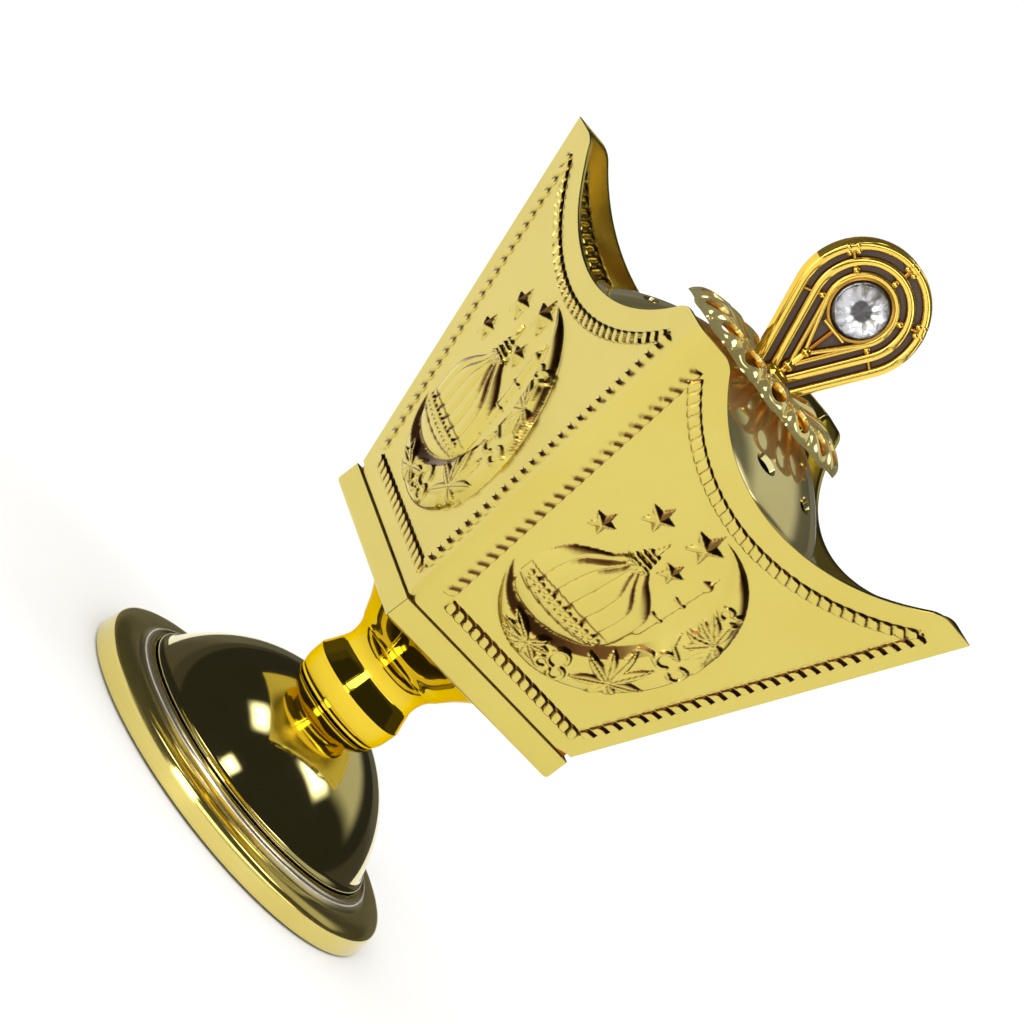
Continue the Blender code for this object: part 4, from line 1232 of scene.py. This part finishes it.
TABLE_LIGHT = 3.3
STRIP_WIDTH, STRIP_HEIGHT, STRIP_DISTANCE, STRIP_RADIANCE = 0.24, 0.45, 0.7, 4.5
STRIP_AZIMUTH = -48.0
# Heights of the sky, as sines, between which its lower part fades into the darker upper part.
SKY_FADE = (0.235, 0.29)


def way_to(azimuth, elevation):
    """Unit vector to a direction. Azimuth 0 is towards -Y, and 90 towards +X."""
    a, e = math.radians(azimuth), math.radians(elevation)
    return Vector((math.sin(a) * math.cos(e), -math.cos(a) * math.cos(e), math.sin(e)))


def sky_panel(tree, direction, azimuth, elevation, half, soft, roll, colour):
    """A soft-edged panel in the sky. half holds its half width and half height, and soft the
    widths of its fading edges, all in sines of angles."""
    way = way_to(azimuth, elevation)
    side = Vector((0.0, 0.0, 1.0)).cross(way).normalized()
    up = way.cross(side)
    turn = math.radians(roll)
    along = side * math.cos(turn) + up * math.sin(turn)
    across = up * math.cos(turn) - side * math.sin(turn)

    def part_along(axis):
        return node(tree, "VectorMath", {0: direction, 1: axis}, operation="DOT_PRODUCT").outputs["Value"]

    share = ramp(tree, part_along(way), 0.0, 0.1, 0.0, 1.0)
    for axis, reach, fading in ((along, half[0], soft[0]), (across, half[1], soft[1])):
        away = node(tree, "Math", {0: part_along(axis)}, operation="ABSOLUTE").outputs["Value"]
        fade = ramp(tree, away, reach, reach + fading, 1.0, 0.0)
        share = node(tree, "Math", {0: share, 1: fade}, operation="MULTIPLY").outputs["Value"]
    return node(tree, "VectorMath", {0: colour, "Scale": share}, operation="SCALE").outputs["Vector"]


# Azimuth, elevation, half sizes, fading edge, roll and radiance of each bright part of the room.
SKY_PANELS = (
    (-103.0, 68.0, (0.07, 0.02), (0.16, 0.12), 12.0, (4.0, 4.0, 4.1)),
    (57.0, 67.0, (0.05, 0.09), (0.13, 0.17), 8.0, (4.0, 4.0, 4.1)),
    (-47.0, 39.0, (0.05, 0.03), (0.09, 0.08), 0.0, (4.0, 4.0, 4.1)),
    (114.0, 49.0, (0.22, 0.20), (0.24, 0.18), 0.0, (0.50, 0.49, 0.44)),
    (-140.0, 6.0, (0.65, 0.26), (0.30, 0.04), 0.0, (0.035, 0.031, 0.024)),
    (150.0, 8.0, (0.35, 0.10), (0.25, 0.06), 0.0, (0.055, 0.054, 0.044)),
    (-7.0, 4.0, (0.74, 0.018), (0.14, 0.03), 0.0, (2.6, 2.6, 2.6)),
)


def make_light():
    world = bpy.data.worlds.new("studio")
    bpy.context.scene.world = world
    world.use_nodes = True
    tree = world.node_tree
    direction = node(tree, "TexCoord", {}).outputs["Generated"]
    height = node(tree, "SeparateXYZ", {"Vector": direction}).outputs["Z"]
    lower = ramp(tree, height, *SKY_FADE, 1.0, 0.0)
    total = blend(tree, lower, (0.027, 0.027, 0.026), (0.062, 0.058, 0.055))
    for row in SKY_PANELS:
        panel = sky_panel(tree, direction, *row)
        total = node(tree, "VectorMath", {0: total, 1: panel}, operation="ADD").outputs["Vector"]
    seen = node(tree, "LightPath", {}).outputs["Is Camera Ray"]
    backdrop = blend(tree, seen, total, (1.0, 1.0, 1.0))
    feed(tree, tree.nodes["Background"].inputs["Color"], backdrop)

    data = bpy.data.lights.new("table_light", "SUN")
    data.energy = TABLE_LIGHT
    data.angle = math.radians(150.0)
    light = new_object("table_light", data)
    light.visible_glossy = False

    data = bpy.data.lights.new("standing_strip", "AREA")
    data.shape = "RECTANGLE"
    data.size, data.size_y = STRIP_WIDTH, STRIP_HEIGHT
    data.energy = STRIP_RADIANCE * math.pi * STRIP_WIDTH * STRIP_HEIGHT
    strip = new_object("standing_strip", data)
    way = way_to(STRIP_AZIMUTH, 0.0)
    strip.location = way * STRIP_DISTANCE + Vector((0.0, 0.0, 0.5 * STRIP_HEIGHT))
    strip.rotation_euler = way.to_track_quat("Z", "Y").to_euler()
    strip.visible_camera = False


CAMERA_AT = (-345.41, -540.38, 171.46)
CAMERA_RIGHT = (0.57926, -0.21668, 0.78582)
CAMERA_UP = (-0.62691, 0.49774, 0.59937)
CAMERA_BACK = (-0.52100, -0.83982, 0.15249)
CAMERA_LENS = 126.63


def make_camera():
    data = bpy.data.cameras.new("camera")
    data.lens = CAMERA_LENS
    data.sensor_width = 36.0
    data.clip_start = 0.01
    camera = new_object("camera", data)
    axes = Matrix((CAMERA_RIGHT, CAMERA_UP, CAMERA_BACK)).transposed()
    camera.matrix_world = Matrix.Translation(Vector(CAMERA_AT) * MM) @ axes.to_4x4()
    bpy.context.scene.camera = camera


bpy.context.scene.view_settings.view_transform = "Standard"
make_pad()
make_cover()
make_rim()
make_dome()
make_stem()
make_tray()
make_body()
make_bowl()
make_lid()
make_flower()
make_finial()
make_channels()
for facing, way_out in (("front", 1), ("back", -1)):
    make_stone(f"cut_stone_{facing}", way_out, f"crystal_{facing}")
    make_foil(f"cut_stone_{facing}_foil", way_out)
finish_kept_nodes()
stage_floor()
make_light()
make_camera()
